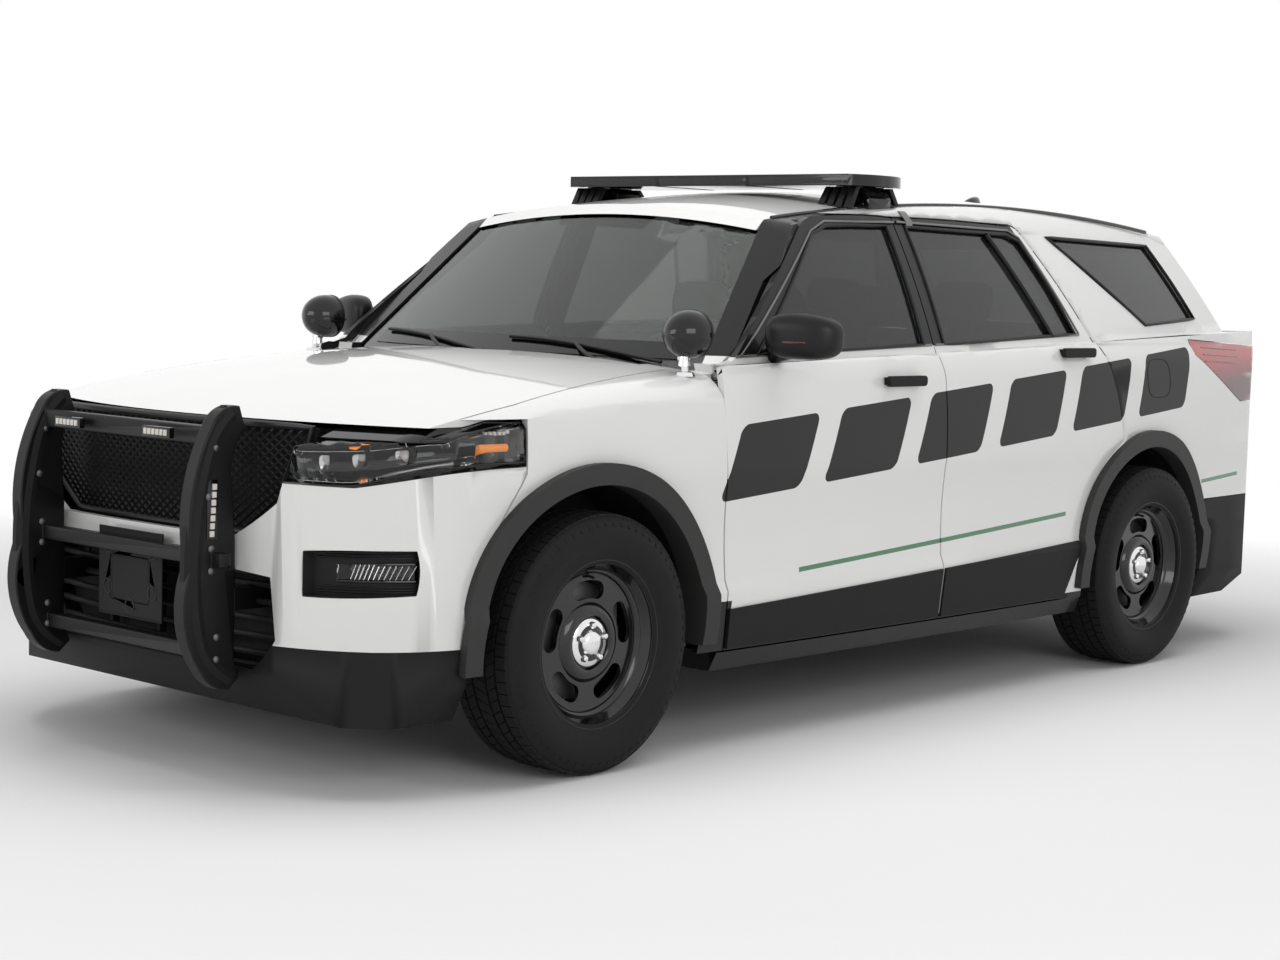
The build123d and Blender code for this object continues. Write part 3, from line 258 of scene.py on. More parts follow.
def livery_masks(material):
    """Masks of the thin stripe and of the slanted blocks."""
    op = partial(calc, material)
    split = node(material, "ShaderNodeSeparateXYZ", Vector=coordinates(material))
    back = op("SUBTRACT", split.outputs["Y"], AXLE_Y)
    height = split.outputs["Z"]
    side = op("GREATER_THAN", op("ABSOLUTE", split.outputs["X"]), 0.80)

    slope = (STRIPE_END[1] - STRIPE_START[1]) / (STRIPE_END[0] - STRIPE_START[0])
    line = op("MULTIPLY_ADD", back, slope, STRIPE_START[1] - slope * STRIPE_START[0])
    near = op("COMPARE", height, line, STRIPE_HALF)
    after = op("GREATER_THAN", back, STRIPE_START[0])
    before = op("LESS_THAN", back, STRIPE_END[0])
    front = op("MULTIPLY", near, op("MULTIPLY", after, before))
    rear_line = op("MULTIPLY_ADD", back, slope, REAR_STRIPE[2] - slope * REAR_STRIPE[0])
    near = op("COMPARE", height, rear_line, STRIPE_HALF)
    rear = op("MULTIPLY", near, op("GREATER_THAN", back, REAR_STRIPE[0]))
    rear = op("MULTIPLY", rear, op("LESS_THAN", back, REAR_STRIPE[1]))
    stripe = op("MULTIPLY", op("MAXIMUM", front, rear), side)

    middle = op("MULTIPLY_ADD", back, BLOCK_RISE, BLOCK_BASE - BLOCK_RISE * BLOCK_FIRST)
    above = op("SUBTRACT", height, middle)
    along = op("SUBTRACT", back, op("MULTIPLY", above, BLOCK_LEAN))
    turn = op("DIVIDE", op("SUBTRACT", along, BLOCK_FIRST), BLOCK_PITCH)
    index = op("ROUND", turn)
    offset = op("MULTIPLY", op("SUBTRACT", turn, index), BLOCK_PITCH)
    reach = []
    for value, half in ((offset, BLOCK_HALF[0]), (above, BLOCK_HALF[1])):
        past = op("SUBTRACT", op("ABSOLUTE", value), half - BLOCK_CORNER)
        past = op("MAXIMUM", past, 0.0)
        reach.append(op("MULTIPLY", past, past))
    corner = op("SQRT", op("ADD", *reach))
    block = op("LESS_THAN", corner, BLOCK_CORNER)
    block = op("MULTIPLY", block, op("GREATER_THAN", index, -0.5))
    block = op("MULTIPLY", block, op("LESS_THAN", index, BLOCK_COUNT - 0.5))
    foot = op("MULTIPLY_ADD", back, FRAME_SLOPE, FRAME_FOOT[1] - FRAME_SLOPE * FRAME_FOOT[0])
    raised = op("SUBTRACT", height, FRAME_REAR[1])
    edge = op("MULTIPLY_ADD", raised, -FRAME_REAR[2], FRAME_REAR[0])
    frames = op("MULTIPLY", op("GREATER_THAN", height, foot),
                  op("LESS_THAN", back, edge))
    frames = op("MULTIPLY", frames, op("LESS_THAN", height, FRAME_TOP))
    frames = op("MULTIPLY", frames, op("GREATER_THAN", back, 0.30))
    # sill band: black cladding, and below its lower edge painted shade under the sill
    cladding_and_sill_shade = op("LESS_THAN", height, BLACK_SILL_AND_SHADE_TOP)
    foot = op("MULTIPLY", op("LESS_THAN", height, FENDER_FOOT[0]),
                op("COMPARE", back, FENDER_FOOT[1], FENDER_FOOT[2]))
    cladding_and_sill_shade = op("MAXIMUM", cladding_and_sill_shade, foot)
    return stripe, op("MULTIPLY", block, side), op("MAXIMUM", frames, cladding_and_sill_shade)


def paint(name, with_livery=False):
    """Clear-coated body paint with fine orange peel."""
    s = bpy.context.scene.suv_paint
    material = shader(name, s.paint, 0.38, Coat_Weight=1.0, Coat_Roughness=0.04)
    colour = blend_colour(material, noise(material, 2.2), [c * 0.96 for c in s.paint], s.paint)
    colour = road_dust(material, colour, s.dust)
    if with_livery:
        stripe, block, frames = livery_masks(material)
        colour = blend_colour(material, block, colour, s.livery)
        colour = blend_colour(material, stripe, colour, s.stripe)
        # the frames mask also darkens the sill band: partly black cladding, partly painted shade under the
        # sill
        colour = blend_colour(material, frames, colour, (0.004, 0.004, 0.0045))
        shader_input(material, "Roughness", calc(material, "MULTIPLY_ADD", block, 0.22, 0.38))
        dark = calc(material, "MAXIMUM", block, frames)
        shader_input(material, "Coat Weight", calc(material, "MULTIPLY_ADD", dark, -0.7, 1.0))
        shader_input(material, "Specular IOR Level", calc(material, "MULTIPLY_ADD", dark, -0.3, 0.5))
    shader_input(material, "Base Color", colour)
    bump(material, noise(material, 420, 1), 0.03, 0.0005)
    return material


def glazing(name, colour, alpha_tint):
    """Thin tinted glass with faint waviness."""
    material = shader(name, colour, 0.02, Transmission_Weight=alpha_tint, IOR=1.45, Specular_IOR_Level=0.6)
    bump(material, noise(material, 3.0, 1), 0.02, 0.002)
    return material


def tail_lens(name, bright, dark, split):
    """Red lens with a darker lower part and fine upright ribs."""
    material = shader(name, bright, 0.12, Coat_Weight=1.0, Coat_Roughness=0.03)
    place_in = node(material, "ShaderNodeSeparateXYZ", Vector=coordinates(material))
    lean = calc(material, "MULTIPLY_ADD", place_in.outputs["Y"], -0.10, place_in.outputs["Z"])
    low = ramp(material, lean, split - 0.16, split - 0.25)
    shader_input(material, "Base Color", blend_colour(material, low, bright, dark))
    ribs = node(material, "ShaderNodeTexWave", Vector=coordinates(material), Scale=34.0)
    ribs.bands_direction = "Y"
    bump(material, ribs.outputs["Fac"], 0.12, 0.001)
    return material


def lit(name, colour, strength):
    """Faintly lit marker or emitter."""
    material = shader(name, colour, 0.25, Emission_Strength=strength)
    material.node_tree.nodes["Principled BSDF"].inputs["Emission Color"].default_value = (*colour, 1)
    mottled(material, colour, 0.15, 220)
    return material


def cloth(name, colour):
    """Woven seat cloth."""
    material = shader(name, colour, 0.9, Sheen_Weight=0.3)
    waves = []
    for direction in ("X", "Z"):
        wave = node(material, "ShaderNodeTexWave", Vector=coordinates(material), Scale=210.0, Distortion=0.6)
        wave.bands_direction = direction
        waves.append(wave.outputs["Fac"])
    weave = calc(material, "MAXIMUM", *waves)
    shader_input(material, "Base Color", blend_colour(material, weave, [c * 0.55 for c in colour],
                                                      [c * 1.3 for c in colour]))
    bump(material, weave, 0.6, 0.0008)
    return material


def rubber(name, colour, roughness):
    """Matt rubber."""
    material = shader(name, colour, roughness, Specular_IOR_Level=0.2)
    mottled(material, colour, 0.3, 30)
    bump(material, noise(material, 700, 3), 0.35, 0.0008)
    return material


def metal(name, colour, roughness, grain=60.0):
    """Brushed or cast metal."""
    material = shader(name, colour, roughness, metallic=1.0)
    mottled(material, colour, 0.12, 12)
    bump(material, noise(material, grain * 6, 4), 0.12, 0.0006)
    return material


def make_materials():
    """All finishes, by name."""
    return {
        "paint": paint("body_paint"),
        "livery": paint("side_paint", True),
        "trim": moulded("grained_trim", (0.0085, 0.0085, 0.0087), 0.60, Specular_IOR_Level=0.22),
        "arch": moulded("arch_plastic", (0.030, 0.029, 0.0285), 0.52, 700, Specular_IOR_Level=0.3),
        "satin": moulded("satin_black", (0.006, 0.006, 0.0065), 0.36, 500, 0.10, Specular_IOR_Level=0.28),
        "gloss": moulded("gloss_black", (0.0035, 0.0035, 0.004), 0.10, 300, 0.03, Coat_Weight=0.35,
                         Specular_IOR_Level=0.3),
        "inner": moulded("cabin_plastic", (0.014, 0.014, 0.015), 0.7, 600, 0.4, Specular_IOR_Level=0.2),
        "powder": moulded("powder_coat", (0.0055, 0.0056, 0.0055), 0.40, 1100, 0.30, Specular_IOR_Level=0.25),
        "wheel": moulded("wheel_enamel", (0.004, 0.004, 0.0045), 0.15, 160, 0.04, Coat_Weight=0.5,
                         Specular_IOR_Level=0.35),
        "tyre": rubber("tyre_rubber", (0.0085, 0.0085, 0.009), 0.66),
        "rubber": rubber("edge_rubber", (0.010, 0.010, 0.010), 0.6),
        "bright": metal("satin_chrome", (0.20, 0.195, 0.19), 0.30),
        "chrome": metal("chrome_plate", (0.80, 0.80, 0.81), 0.08),
        "steel": metal("bare_steel", (0.42, 0.42, 0.43), 0.34),
        "cast": metal("cast_metal", (0.16, 0.16, 0.165), 0.6, 25),
        "side_glass": glazing("privacy_glass", (0.12, 0.123, 0.125), 0.92),
        "screen_glass": glazing("screen_glass", (0.42, 0.46, 0.43), 1.0),
        "lens": glazing("clear_lens", (0.86, 0.88, 0.88), 1.0),
        "red_lens": tail_lens("red_lens", (0.46, 0.008, 0.012), (0.085, 0.004, 0.006), 1.095),
        "dark_red": moulded("dark_red_lens", (0.09, 0.003, 0.004), 0.12, 240, 0.05, 0.2, Coat_Weight=1.0),
        "amber": lit("amber_marker", (0.80, 0.22, 0.015), 0.45),
        "led": lit("led_emitter", (0.58, 0.55, 0.52), 0.16),
        "reflector": metal("reflector", (0.74, 0.73, 0.72), 0.14),
        "cloth": cloth("seat_cloth", (0.030, 0.030, 0.032)),
        "mirror": metal("mirror_glass", (0.62, 0.65, 0.68), 0.02),
        "blank": moulded("blank_plate", (0.62, 0.62, 0.60), 0.4, 300, 0.1),
    }


M = {}


# ------------------------------------------------------------------ mesh tools
def add(name, mesh, material, body, replaced=(), smooth=35.0):
    """Links a finished mesh as a piece that rides on a body."""
    piece = bpy.data.objects.new(name, mesh)
    bpy.context.scene.collection.objects.link(piece)
    if material is not None:
        mesh.materials.clear()
        mesh.materials.append(M[material])
    for face in mesh.polygons:
        face.use_smooth = smooth > 0
    if smooth > 0:
        mesh.set_sharp_from_angle(angle=math.radians(smooth))
    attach(piece, body)
    if replaced:
        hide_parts(*replaced)
    return piece


def to_mesh(name, build):
    """Mesh from a bmesh, with its normals outwards."""
    bmesh.ops.recalc_face_normals(build, faces=build.faces)
    mesh = bpy.data.meshes.new(name)
    build.to_mesh(mesh)
    build.free()
    return mesh


def joined(name, meshes):
    """One mesh from several."""
    build = bmesh.new()
    for mesh in meshes:
        build.from_mesh(mesh)
    whole = bpy.data.meshes.new(name)
    build.to_mesh(whole)
    build.free()
    return whole


def moved(mesh, matrix):
    """The mesh after a transform, with faces outwards."""
    mesh.transform(matrix)
    if matrix.determinant() < 0:
        mesh.flip_normals()
    return mesh


def mirrored(mesh):
    """Copy for the other side."""
    return moved(mesh.copy(), Matrix.Scale(-1, 4, (1, 0, 0)))


def both(name, meshes):
    """One mesh from several and their copies for the other side."""
    return joined(name, meshes + [mirrored(mesh) for mesh in meshes])


def block(low, high, bevel=0.0, segments=2):
    """Box between two corners with softened edges."""
    build = bmesh.new()
    bmesh.ops.create_cube(build, size=1.0)
    low, high = Vector(low), Vector(high)
    size, middle = high - low, (high + low) / 2
    for vert in build.verts:
        vert.co = Vector(a * b for a, b in zip(vert.co, size)) + middle
    if bevel:
        bmesh.ops.bevel(build, geom=build.edges[:], offset=bevel, segments=segments, affect="EDGES",
                        profile=0.7)
    return to_mesh("block", build)


def prism(points, direction, bevel=0.0):
    """Flat outline of 3-D points carried along a direction."""
    build = bmesh.new()
    face = build.faces.new([build.verts.new(p) for p in points])
    made = bmesh.ops.extrude_face_region(build, geom=[face])
    tops = [g for g in made["geom"] if isinstance(g, bmesh.types.BMVert)]
    bmesh.ops.translate(build, vec=direction, verts=tops)
    if bevel:
        bmesh.ops.bevel(build, geom=build.edges[:], offset=bevel, segments=2, affect="EDGES", profile=0.7)
    return to_mesh("prism", build)


def lathe(rows, centre, segments=96, axis="X"):
    """Closed section of (along, radius) rows turned about an axis through a centre."""
    build = bmesh.new()
    rings = []
    for k in range(segments):
        angle = 2 * math.pi * k / segments
        c, s = math.cos(angle), math.sin(angle)
        ring = []
        for along, radius in rows:
            spot = {"X": (along, radius * c, radius * s), "Y": (radius * c, along, radius * s),
                    "Z": (radius * c, radius * s, along)}[axis]
            ring.append(build.verts.new(Vector(spot) + Vector(centre)))
        rings.append(ring)
    for k in range(segments):
        here, there = rings[k], rings[(k + 1) % segments]
        for i in range(len(rows)):
            j = (i + 1) % len(rows)
            build.faces.new((here[i], here[j], there[j], there[i]))
    bmesh.ops.remove_doubles(build, verts=build.verts, dist=1e-6)
    return to_mesh("lathe", build)


def tube(points, radius, closed=False, smooth=False, resolution=3):
    """Round bar along a path."""
    curve = bpy.data.curves.new("tube", "CURVE")
    curve.dimensions = "3D"
    curve.bevel_depth = radius
    curve.bevel_resolution = resolution
    curve.use_fill_caps = True
    spline = curve.splines.new("NURBS" if smooth else "POLY")
    spline.points.add(len(points) - 1)
    for spot, point in zip(spline.points, points):
        spot.co = (*point, 1)
    if smooth:
        spline.order_u = 3
        spline.use_endpoint_u = not closed
    spline.use_cyclic_u = closed
    holder = bpy.data.objects.new("tube", curve)
    bpy.context.scene.collection.objects.link(holder)
    bpy.context.view_layer.update()
    mesh = bpy.data.meshes.new_from_object(holder.evaluated_get(bpy.context.evaluated_depsgraph_get()))
    bpy.data.objects.remove(holder)
    bpy.data.curves.remove(curve)
    return mesh


def repeat_tree(material):
    """Geometry nodes: copies of the input, each a step and a turn on from the last."""
    tree = bpy.data.node_groups.new("repeat_in_step", "GeometryNodeTree")
    tree.interface.new_socket("Geometry", in_out="INPUT", socket_type="NodeSocketGeometry")
    for name, kind in (("Count", "NodeSocketInt"), ("Centre", "NodeSocketVector"), ("Turn",
                                                                                    "NodeSocketVector"),
                       ("Step", "NodeSocketVector")):
        tree.interface.new_socket(name, in_out="INPUT", socket_type=kind)
    tree.interface.new_socket("Geometry", in_out="OUTPUT", socket_type="NodeSocketGeometry")
    make, link = tree.nodes.new, tree.links.new
    inputs, output = make("NodeGroupInput"), make("NodeGroupOutput")
    points, index = make("GeometryNodePoints"), make("GeometryNodeInputIndex")
    link(inputs.outputs["Count"], points.inputs["Count"])
    scaled = {}
    for name in ("Turn", "Step"):
        scaled[name] = make("ShaderNodeVectorMath")
        scaled[name].operation = "SCALE"
        link(inputs.outputs[name], scaled[name].inputs[0])
        link(index.outputs[0], scaled[name].inputs["Scale"])
    spot = make("ShaderNodeVectorMath")
    link(scaled["Step"].outputs[0], spot.inputs[0])
    link(inputs.outputs["Centre"], spot.inputs[1])
    put = make("GeometryNodeSetPosition")
    link(points.outputs[0], put.inputs["Geometry"])
    link(spot.outputs[0], put.inputs["Position"])
    euler = make("FunctionNodeEulerToRotation")
    link(scaled["Turn"].outputs[0], euler.inputs[0])
    copies = make("GeometryNodeInstanceOnPoints")
    link(put.outputs[0], copies.inputs["Points"])
    link(inputs.outputs["Geometry"], copies.inputs["Instance"])
    link(euler.outputs[0], copies.inputs["Rotation"])
    real, finish = make("GeometryNodeRealizeInstances"), make("GeometryNodeSetMaterial")
    link(copies.outputs[0], real.inputs[0])
    link(real.outputs[0], finish.inputs["Geometry"])
    finish.inputs["Material"].default_value = material
    link(finish.outputs[0], output.inputs[0])
    return tree


def repeated(mesh, material, count, centre=(0, 0, 0), turn=(0, 0, 0), step=(0, 0, 0)):
    """A plain mesh of copies made by geometry nodes."""
    tree = repeat_tree(M[material])
    holder = bpy.data.objects.new("repeat", mesh)
    bpy.context.scene.collection.objects.link(holder)
    modifier = holder.modifiers.new("repeat", "NODES")
    modifier.node_group = tree
    values = {"Count": count, "Centre": centre, "Turn": turn, "Step": step}
    for item in tree.interface.items_tree:
        if item.item_type == "SOCKET" and item.in_out == "INPUT" and item.name in values:
            value = values[item.name]
            modifier[item.identifier] = value if isinstance(value, int) else [float(v) for v in value]
    bpy.context.view_layer.update()
    result = bpy.data.meshes.new_from_object(holder.evaluated_get(bpy.context.evaluated_depsgraph_get()))
    holder.modifiers.clear()
    bpy.data.objects.remove(holder)
    return result


def surface_of(*nodes):
    """Search tree over CAD nodes' surfaces."""
    build = bmesh.new()
    for name in nodes:
        build.from_mesh(frame["nodes"][name].data)
    found = BVHTree.FromBMesh(build)
    build.free()
    return found


def on_side(tree, side, back, z, proud=0.0, guess=0.9):
    """Point of a flank at a distance behind the front axle and a height."""
    hit, normal, _, _ = tree.ray_cast(Vector((side * 2.0, AXLE_Y + back, z)), Vector((-side, 0, 0)))
    if hit is None or hit.x * side < 0.5:
        hit, normal = Vector((side * guess, AXLE_Y + back, z)), Vector((side, 0, 0))
    if normal.x * side < 0:
        normal = -normal
    return hit + normal * proud


def cabin_side(side, back, z, proud=0.0):
    """Point of the glazed side: its section leans in and bulges, and it bows along its length."""
    share = min(1.0, max(0.0, (z - 1.195) / 0.417))
    inwards = 0.050 + 0.187 * share - 0.044 * share * (1 - share)
    bow = (back - 1.5) ** 2 / (2 * 22.0)
    return Vector((side * (0.972 - inwards - bow + proud * 0.91), AXLE_Y + back,
                   z + proud * 0.41 * (share > 0)))


def dressed(node_name, material, inner=None, inner_test=None, bevel=0.0, smooth=28.0):
    """Smooth-shaded copy of a CAD node that stands for it."""
    source = frame["nodes"][node_name]
    build = bmesh.new()
    build.from_mesh(source.data)
    bmesh.ops.remove_doubles(build, verts=build.verts, dist=2e-5)
    bmesh.ops.dissolve_degenerate(build, edges=build.edges, dist=1e-5)
    mesh = bpy.data.meshes.new(node_name + "_skin")
    build.to_mesh(mesh)
    build.free()
    piece = add(node_name + "_skin", mesh, material, source["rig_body"], (node_name,), smooth=smooth)
    if inner:
        mesh.materials.append(M[inner])
        for face in mesh.polygons:
            if inner_test(face.center, face.normal):
                face.material_index = 1
    if bevel:
        tool = piece.modifiers.new("soft_edges", "BEVEL")
        tool.width, tool.segments, tool.limit_method = bevel, 2, "ANGLE"
        tool.angle_limit = math.radians(40)
        tool.harden_normals = False
    return piece


# ------------------------------------------------------------------ body panels
def faces_cabin(limit):
    """Faces that look into the cabin."""
    def test(spot, normal):
        return spot.x * normal.x < 0 and abs(spot.x) < limit
    return test


def looks_down_or_in(spot, normal):
    """Faces that look down or into the cabin."""
    return normal.z < -0.3 or (abs(normal.x) > 0.5 and spot.x * normal.x < 0)


def make_panels():
    """Painted panels with their inner faces."""
    for place_, side in DOORS:
        dressed(f"{place_}_door_{side}", "livery", "inner", faces_cabin(0.935))
        dressed(f"{place_}_door_trim_{side}", "trim", bevel=0.002)
    for side, _ in SIDES:
        dressed(f"body_side_{side}", "livery", "inner", faces_cabin(0.905))
    dressed("front_fenders", "livery", "inner", looks_down_or_in)
    dressed("hood", "paint", "inner", looks_down_or_in)
    dressed("roof_panel", "paint", "inner", looks_down_or_in)
    dressed("liftgate", "paint", "inner", lambda spot, normal: normal.y < -0.4)
    dressed("front_bumper_cover", "paint", smooth=40.0)
    dressed("rear_bumper_cover", "livery")
    for name in ("front_valance", "rear_valance"):
        dressed(name, "trim", smooth=50.0)
    dressed("arch_mouldings", "arch", bevel=0.004)


# window outlines: distance behind the front axle, height
WINDOW_LINES = {
    "front": [(0.715, 1.188), (1.571, 1.216), (1.574, 1.606), (1.40, 1.603), (1.240, 1.596), (1.150, 1.566)],
    "rear": [(1.688, 1.218), (2.560, 1.250), (2.478, 1.414), (2.378, 1.578), (2.310, 1.600), (1.684, 1.608)],
}
QUARTER_LINE = [(3.140, 1.284), (3.600, 1.308), (3.50, 1.45), (3.395, 1.590), (2.590, 1.600), (2.86, 1.445)]


def along_outline(points, spacing=0.05, closed=True):
    """Evenly spaced points along straight runs."""
    result = []
    ends = points[1:] + points[:1] if closed else points[1:]
    for (u0, v0), (u1, v1) in zip(points, ends):
        count = max(1, round(math.hypot(u1 - u0, v1 - v0) / spacing))
        result += [(u0 + (u1 - u0) * k / count, v0 + (v1 - v0) * k / count) for k in range(count)]
    if not closed:
        result.append(points[-1])
    return result


def make_window_trim():
    """Satin surrounds, the belt strips, the rear door's divider and the roof ditches."""
    for side, sign in SIDES:
        for spot in ("front", "rear"):
            path = [cabin_side(sign, back, z, 0.0005) for back, z in along_outline(WINDOW_LINES[spot])]
            add(f"{spot}_window_seal_{side}", tube(path, 0.0065, closed=True), "satin",
                f"{spot}_door_{side}")
        path = [cabin_side(sign, back, z, 0.0005) for back, z in along_outline(QUARTER_LINE)]
        add(f"quarter_window_seal_{side}", tube(path, 0.0065, closed=True), "satin", "car")
        strips = {"front": [(0.640, 1.184), (1.150, 1.575), (1.240, 1.610), (1.618, 1.620)],
                  "rear": [(1.634, 1.622), (2.330, 1.616), (2.392, 1.592), (2.588, 1.252)]}
        belts = {"front": [(0.62, 1.182), (1.616, 1.2155)], "rear": [(1.634, 1.2155), (2.588, 1.2485)]}
        for spot in ("front", "rear"):
            rows = []
            for line in (strips[spot], belts[spot]):
                path = [cabin_side(sign, back, z, 0.001) for back, z in along_outline(line, 0.05, False)]
                rows.append(tube(path, 0.0045))
            add(f"{spot}_window_strips_{side}", joined("strips", rows), "bright", f"{spot}_door_{side}")
        divider = [cabin_side(sign, 2.180 + 0.215 * (1.59 - z) / 0.35, z, 0.001)
                   for z in np.linspace(1.242, 1.596, 9)]
        add(f"rear_window_divider_{side}", tube(divider, 0.009), "satin", f"rear_door_{side}")
    roof = surface_of("roof_panel", "body_side_left")
    path = []
    for back in np.linspace(1.09, 3.43, 40):
        path.append(below(roof, 0.636, AXLE_Y + back, ROOF_EDGE_Z) + Vector((0.004, 0, 0.0005)))
    ditch = tube(path, 0.0075)
    add("roof_ditch_strips", both("ditches", [ditch]), "gloss", "car")


def ribbon(rows, thickness):
    """Thin sheet through rows of points, thickened inwards."""
    build = bmesh.new()
    grid = [[build.verts.new(p) for p in row] for row in rows]
    for a, b in zip(grid, grid[1:]):
        for i in range(len(a) - 1):
            build.faces.new((a[i], a[i + 1], b[i + 1], b[i]))
    build.normal_update()
    bmesh.ops.solidify(build, geom=build.faces[:], thickness=thickness)
    return to_mesh("ribbon", build)


def make_glass():
    """Tinted panes and the border of the windscreen."""
    for place_, side in DOORS:
        dressed(f"{place_}_door_glass_{side}", "side_glass")
    dressed("liftgate_glass", "side_glass")
    piece = dressed("fixed_windows", "side_glass")
    piece.data.materials.append(M["screen_glass"])
    for face in piece.data.polygons:
        if face.center.y < AXLE_Y + 1.4:
            face.material_index = 1
    pane = surface_of("fixed_windows")
    rows = []
    for x in np.linspace(-0.70, 0.70, 33):
        low = met(pane, (x, AXLE_Y + 0.2, 1.165), (0, 1, 0), 0.0012)
        high = met(pane, (x, AXLE_Y + 0.2, 1.215), (0, 1, 0), 0.0012)
        if low and high:
            rows.append([low, high])
    add("screen_border", ribbon(rows, 0.0012), "gloss", "car")


# ------------------------------------------------------------------ lamps
def outward(spot, normal):
    """Faces of a headlamp that look forwards or to the side."""
    across = math.copysign(0.55, spot.x)
    return abs(normal.z) < 0.8 and normal.dot(Vector((across, -0.8, 0.0))) > 0.2


def traced(hits):
    """The points of a path that met the surface."""
    return [spot for spot in hits if spot is not None]


def met(tree, start, direction, proud):
    """Point where a ray meets a surface, moved off it, or None."""
    hit, normal, _, _ = tree.ray_cast(Vector(start), Vector(direction))
    if hit is None:
        return None
    if normal.dot(Vector(direction)) > 0:
        normal = -normal
    return hit + normal * proud


def below(tree, x, y, fallback):
    """Point of the roof straight under a place, or the fallback height there."""
    hit, _, _, _ = tree.ray_cast(Vector((x, y, 3)), Vector((0, 0, -1)))
    return hit if hit else Vector((x, y, fallback))


def ahead(tree, x, z, proud=0.0):
    """Surface point met from the front."""
    return met(tree, (x, -5, z), (0, 1, 0), proud)


def abeam(tree, back, z, proud=0.0):
    """Surface point met from the left."""
    return met(tree, (2, AXLE_Y + back, z), (-1, 0, 0), proud)


def split_lamp(node_name, test, lens_name, lens, body_name, body_finish):
    """Cuts a lamp's solid into its lens and its bowl."""
    source = frame["nodes"][node_name]
    halves = []
    for keep_lens in (True, False):
        build = bmesh.new()
        build.from_mesh(source.data)
        bmesh.ops.remove_doubles(build, verts=build.verts, dist=2e-5)
        build.normal_update()
        lost = [f for f in build.faces if test(f.calc_center_median(), f.normal) != keep_lens]
        bmesh.ops.delete(build, geom=lost, context="FACES")
        mesh = bpy.data.meshes.new(lens_name if keep_lens else body_name)
        build.to_mesh(mesh)
        build.free()
        halves.append(mesh)
    glass = add(lens_name, halves[0], lens, source["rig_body"])
    wall = glass.modifiers.new("wall", "SOLIDIFY")
    wall.thickness, wall.offset = 0.0025, -1
    bowl = add(body_name, halves[1], body_finish, source["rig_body"], (node_name,))
    wall = bowl.modifiers.new("wall", "SOLIDIFY")
    wall.thickness, wall.offset = 0.002, -1
    return glass, bowl


def lamp_foot(x):
    """Height of a headlamp's lower edge at a distance from the middle."""
    return 0.842 + max(0.0, x - 0.76) * 0.346


def make_headlamps():
    """Bowls, reflectors, emitters, markers and rims."""
    split_lamp("headlamps", outward, "headlamp_lenses", "lens", "headlamp_bowls", "gloss")
    shell = surface_of("headlamps")
    parts = {"headlamp_reflectors": ("reflector", []), "headlamp_emitters": ("led", []),
             "headlamp_markers": ("amber", []), "headlamp_rims": ("gloss", []), "headlamp_bars": ("bright",
                                                                                                  [])}
    for x, z, radius in ((0.690, 0.910, 0.024), (0.770, 0.922, 0.031), (0.852, 0.930, 0.031)):
        face = ahead(shell, x, z, -0.030)
        cup = [(0.002, 0.001), (-0.012, radius), (-0.010, radius + 0.003), (0.010, radius + 0.003), (0.012,
                                                                                                     0.001)]
        parts["headlamp_reflectors"][1].append(lathe(cup, face, 40, "Y"))
        dome = [(-0.016 * math.cos(t), radius * 0.62 * math.sin(t)) for t in np.linspace(0.02, math.pi / 2,
                                                                                         7)]
        parts["headlamp_emitters"][1].append(lathe(dome + [(0.004, radius * 0.6), (0.004, 0.001)], face, 32,
                                                   "Y"))
        hood = [(-0.016, radius + 0.002), (-0.016, radius + 0.006), (0.006, radius + 0.008), (0.006,
                                                                                              radius + 0.004)]
        parts["headlamp_rims"][1].append(lathe(hood, face, 40, "Y"))
    line = traced(ahead(shell, x, 0.952, -0.008) for x in np.linspace(0.655, 0.790, 10))
    parts["headlamp_markers"][1].append(tube(line, 0.0045))
    side = traced(abeam(shell, back, 0.944, -0.014) for back in np.linspace(-0.445, -0.345, 6))
    parts["headlamp_markers"][1].append(tube(side, 0.011))
    for x in np.linspace(0.845, 0.893, 5):
        spot = ahead(shell, x, 0.978, -0.007)
        parts["headlamp_emitters"][1].append(block(spot - Vector((0.0035, 0.002, 0.004)),
                                                   spot + Vector((0.0035, 0.004, 0.004)), 0.001))
    for back in np.linspace(-0.415, -0.345, 6):
        spot = abeam(shell, back, 0.986, -0.006)
        parts["headlamp_emitters"][1].append(block(spot - Vector((0.004, 0.0045, 0.004)),
                                                   spot + Vector((0.002, 0.0045, 0.004)), 0.001))
    low = traced(ahead(shell, x, lamp_foot(x) + 0.020, -0.016) for x in np.linspace(0.620, 0.905, 20))
    parts["headlamp_bars"][1].append(tube(low, 0.0035))
    shelf = traced(ahead(shell, x, 0.958, -0.022) for x in np.linspace(0.650, 0.905, 18))
    parts["headlamp_rims"][1].append(tube(shelf, 0.006))
    edge = traced(ahead(shell, x, lamp_foot(x) + 0.0035, 0.0) for x in np.linspace(0.582, 0.905, 24))
    edge += traced(abeam(shell, back, lamp_foot(0.925) + 0.0035, 0.0) for back in np.linspace(-0.44, -0.290,
                                                                                              8))
    edge += traced(abeam(shell, back, 1.010, 0.0) for back in np.linspace(-0.290, -0.420, 7))
    parts["headlamp_rims"][1].append(tube(edge, 0.0030))
    nose = surface_of("headlamps", "hood")
    brow = []
    for x in np.linspace(0.628, 0.896, 26):
        foot = ahead(nose, x, 0.962, 0.0022)
        lip = ahead(nose, x, 1.008, 0.0)
        if foot and lip:
            crown = Vector((x, max(lip.y - 0.001, foot.y + 0.004), 0.9955))
            brow.append([foot, foot.lerp(crown, 0.35) - Vector((0, 0.003, 0)), foot.lerp(crown, 0.7)
                         - Vector((0, 0.003, 0)), crown])
    parts["headlamp_rims"][1].append(ribbon(brow, 0.003))
    for name, (finish, meshes) in parts.items():
        add(name, both(name, meshes), finish, "car")


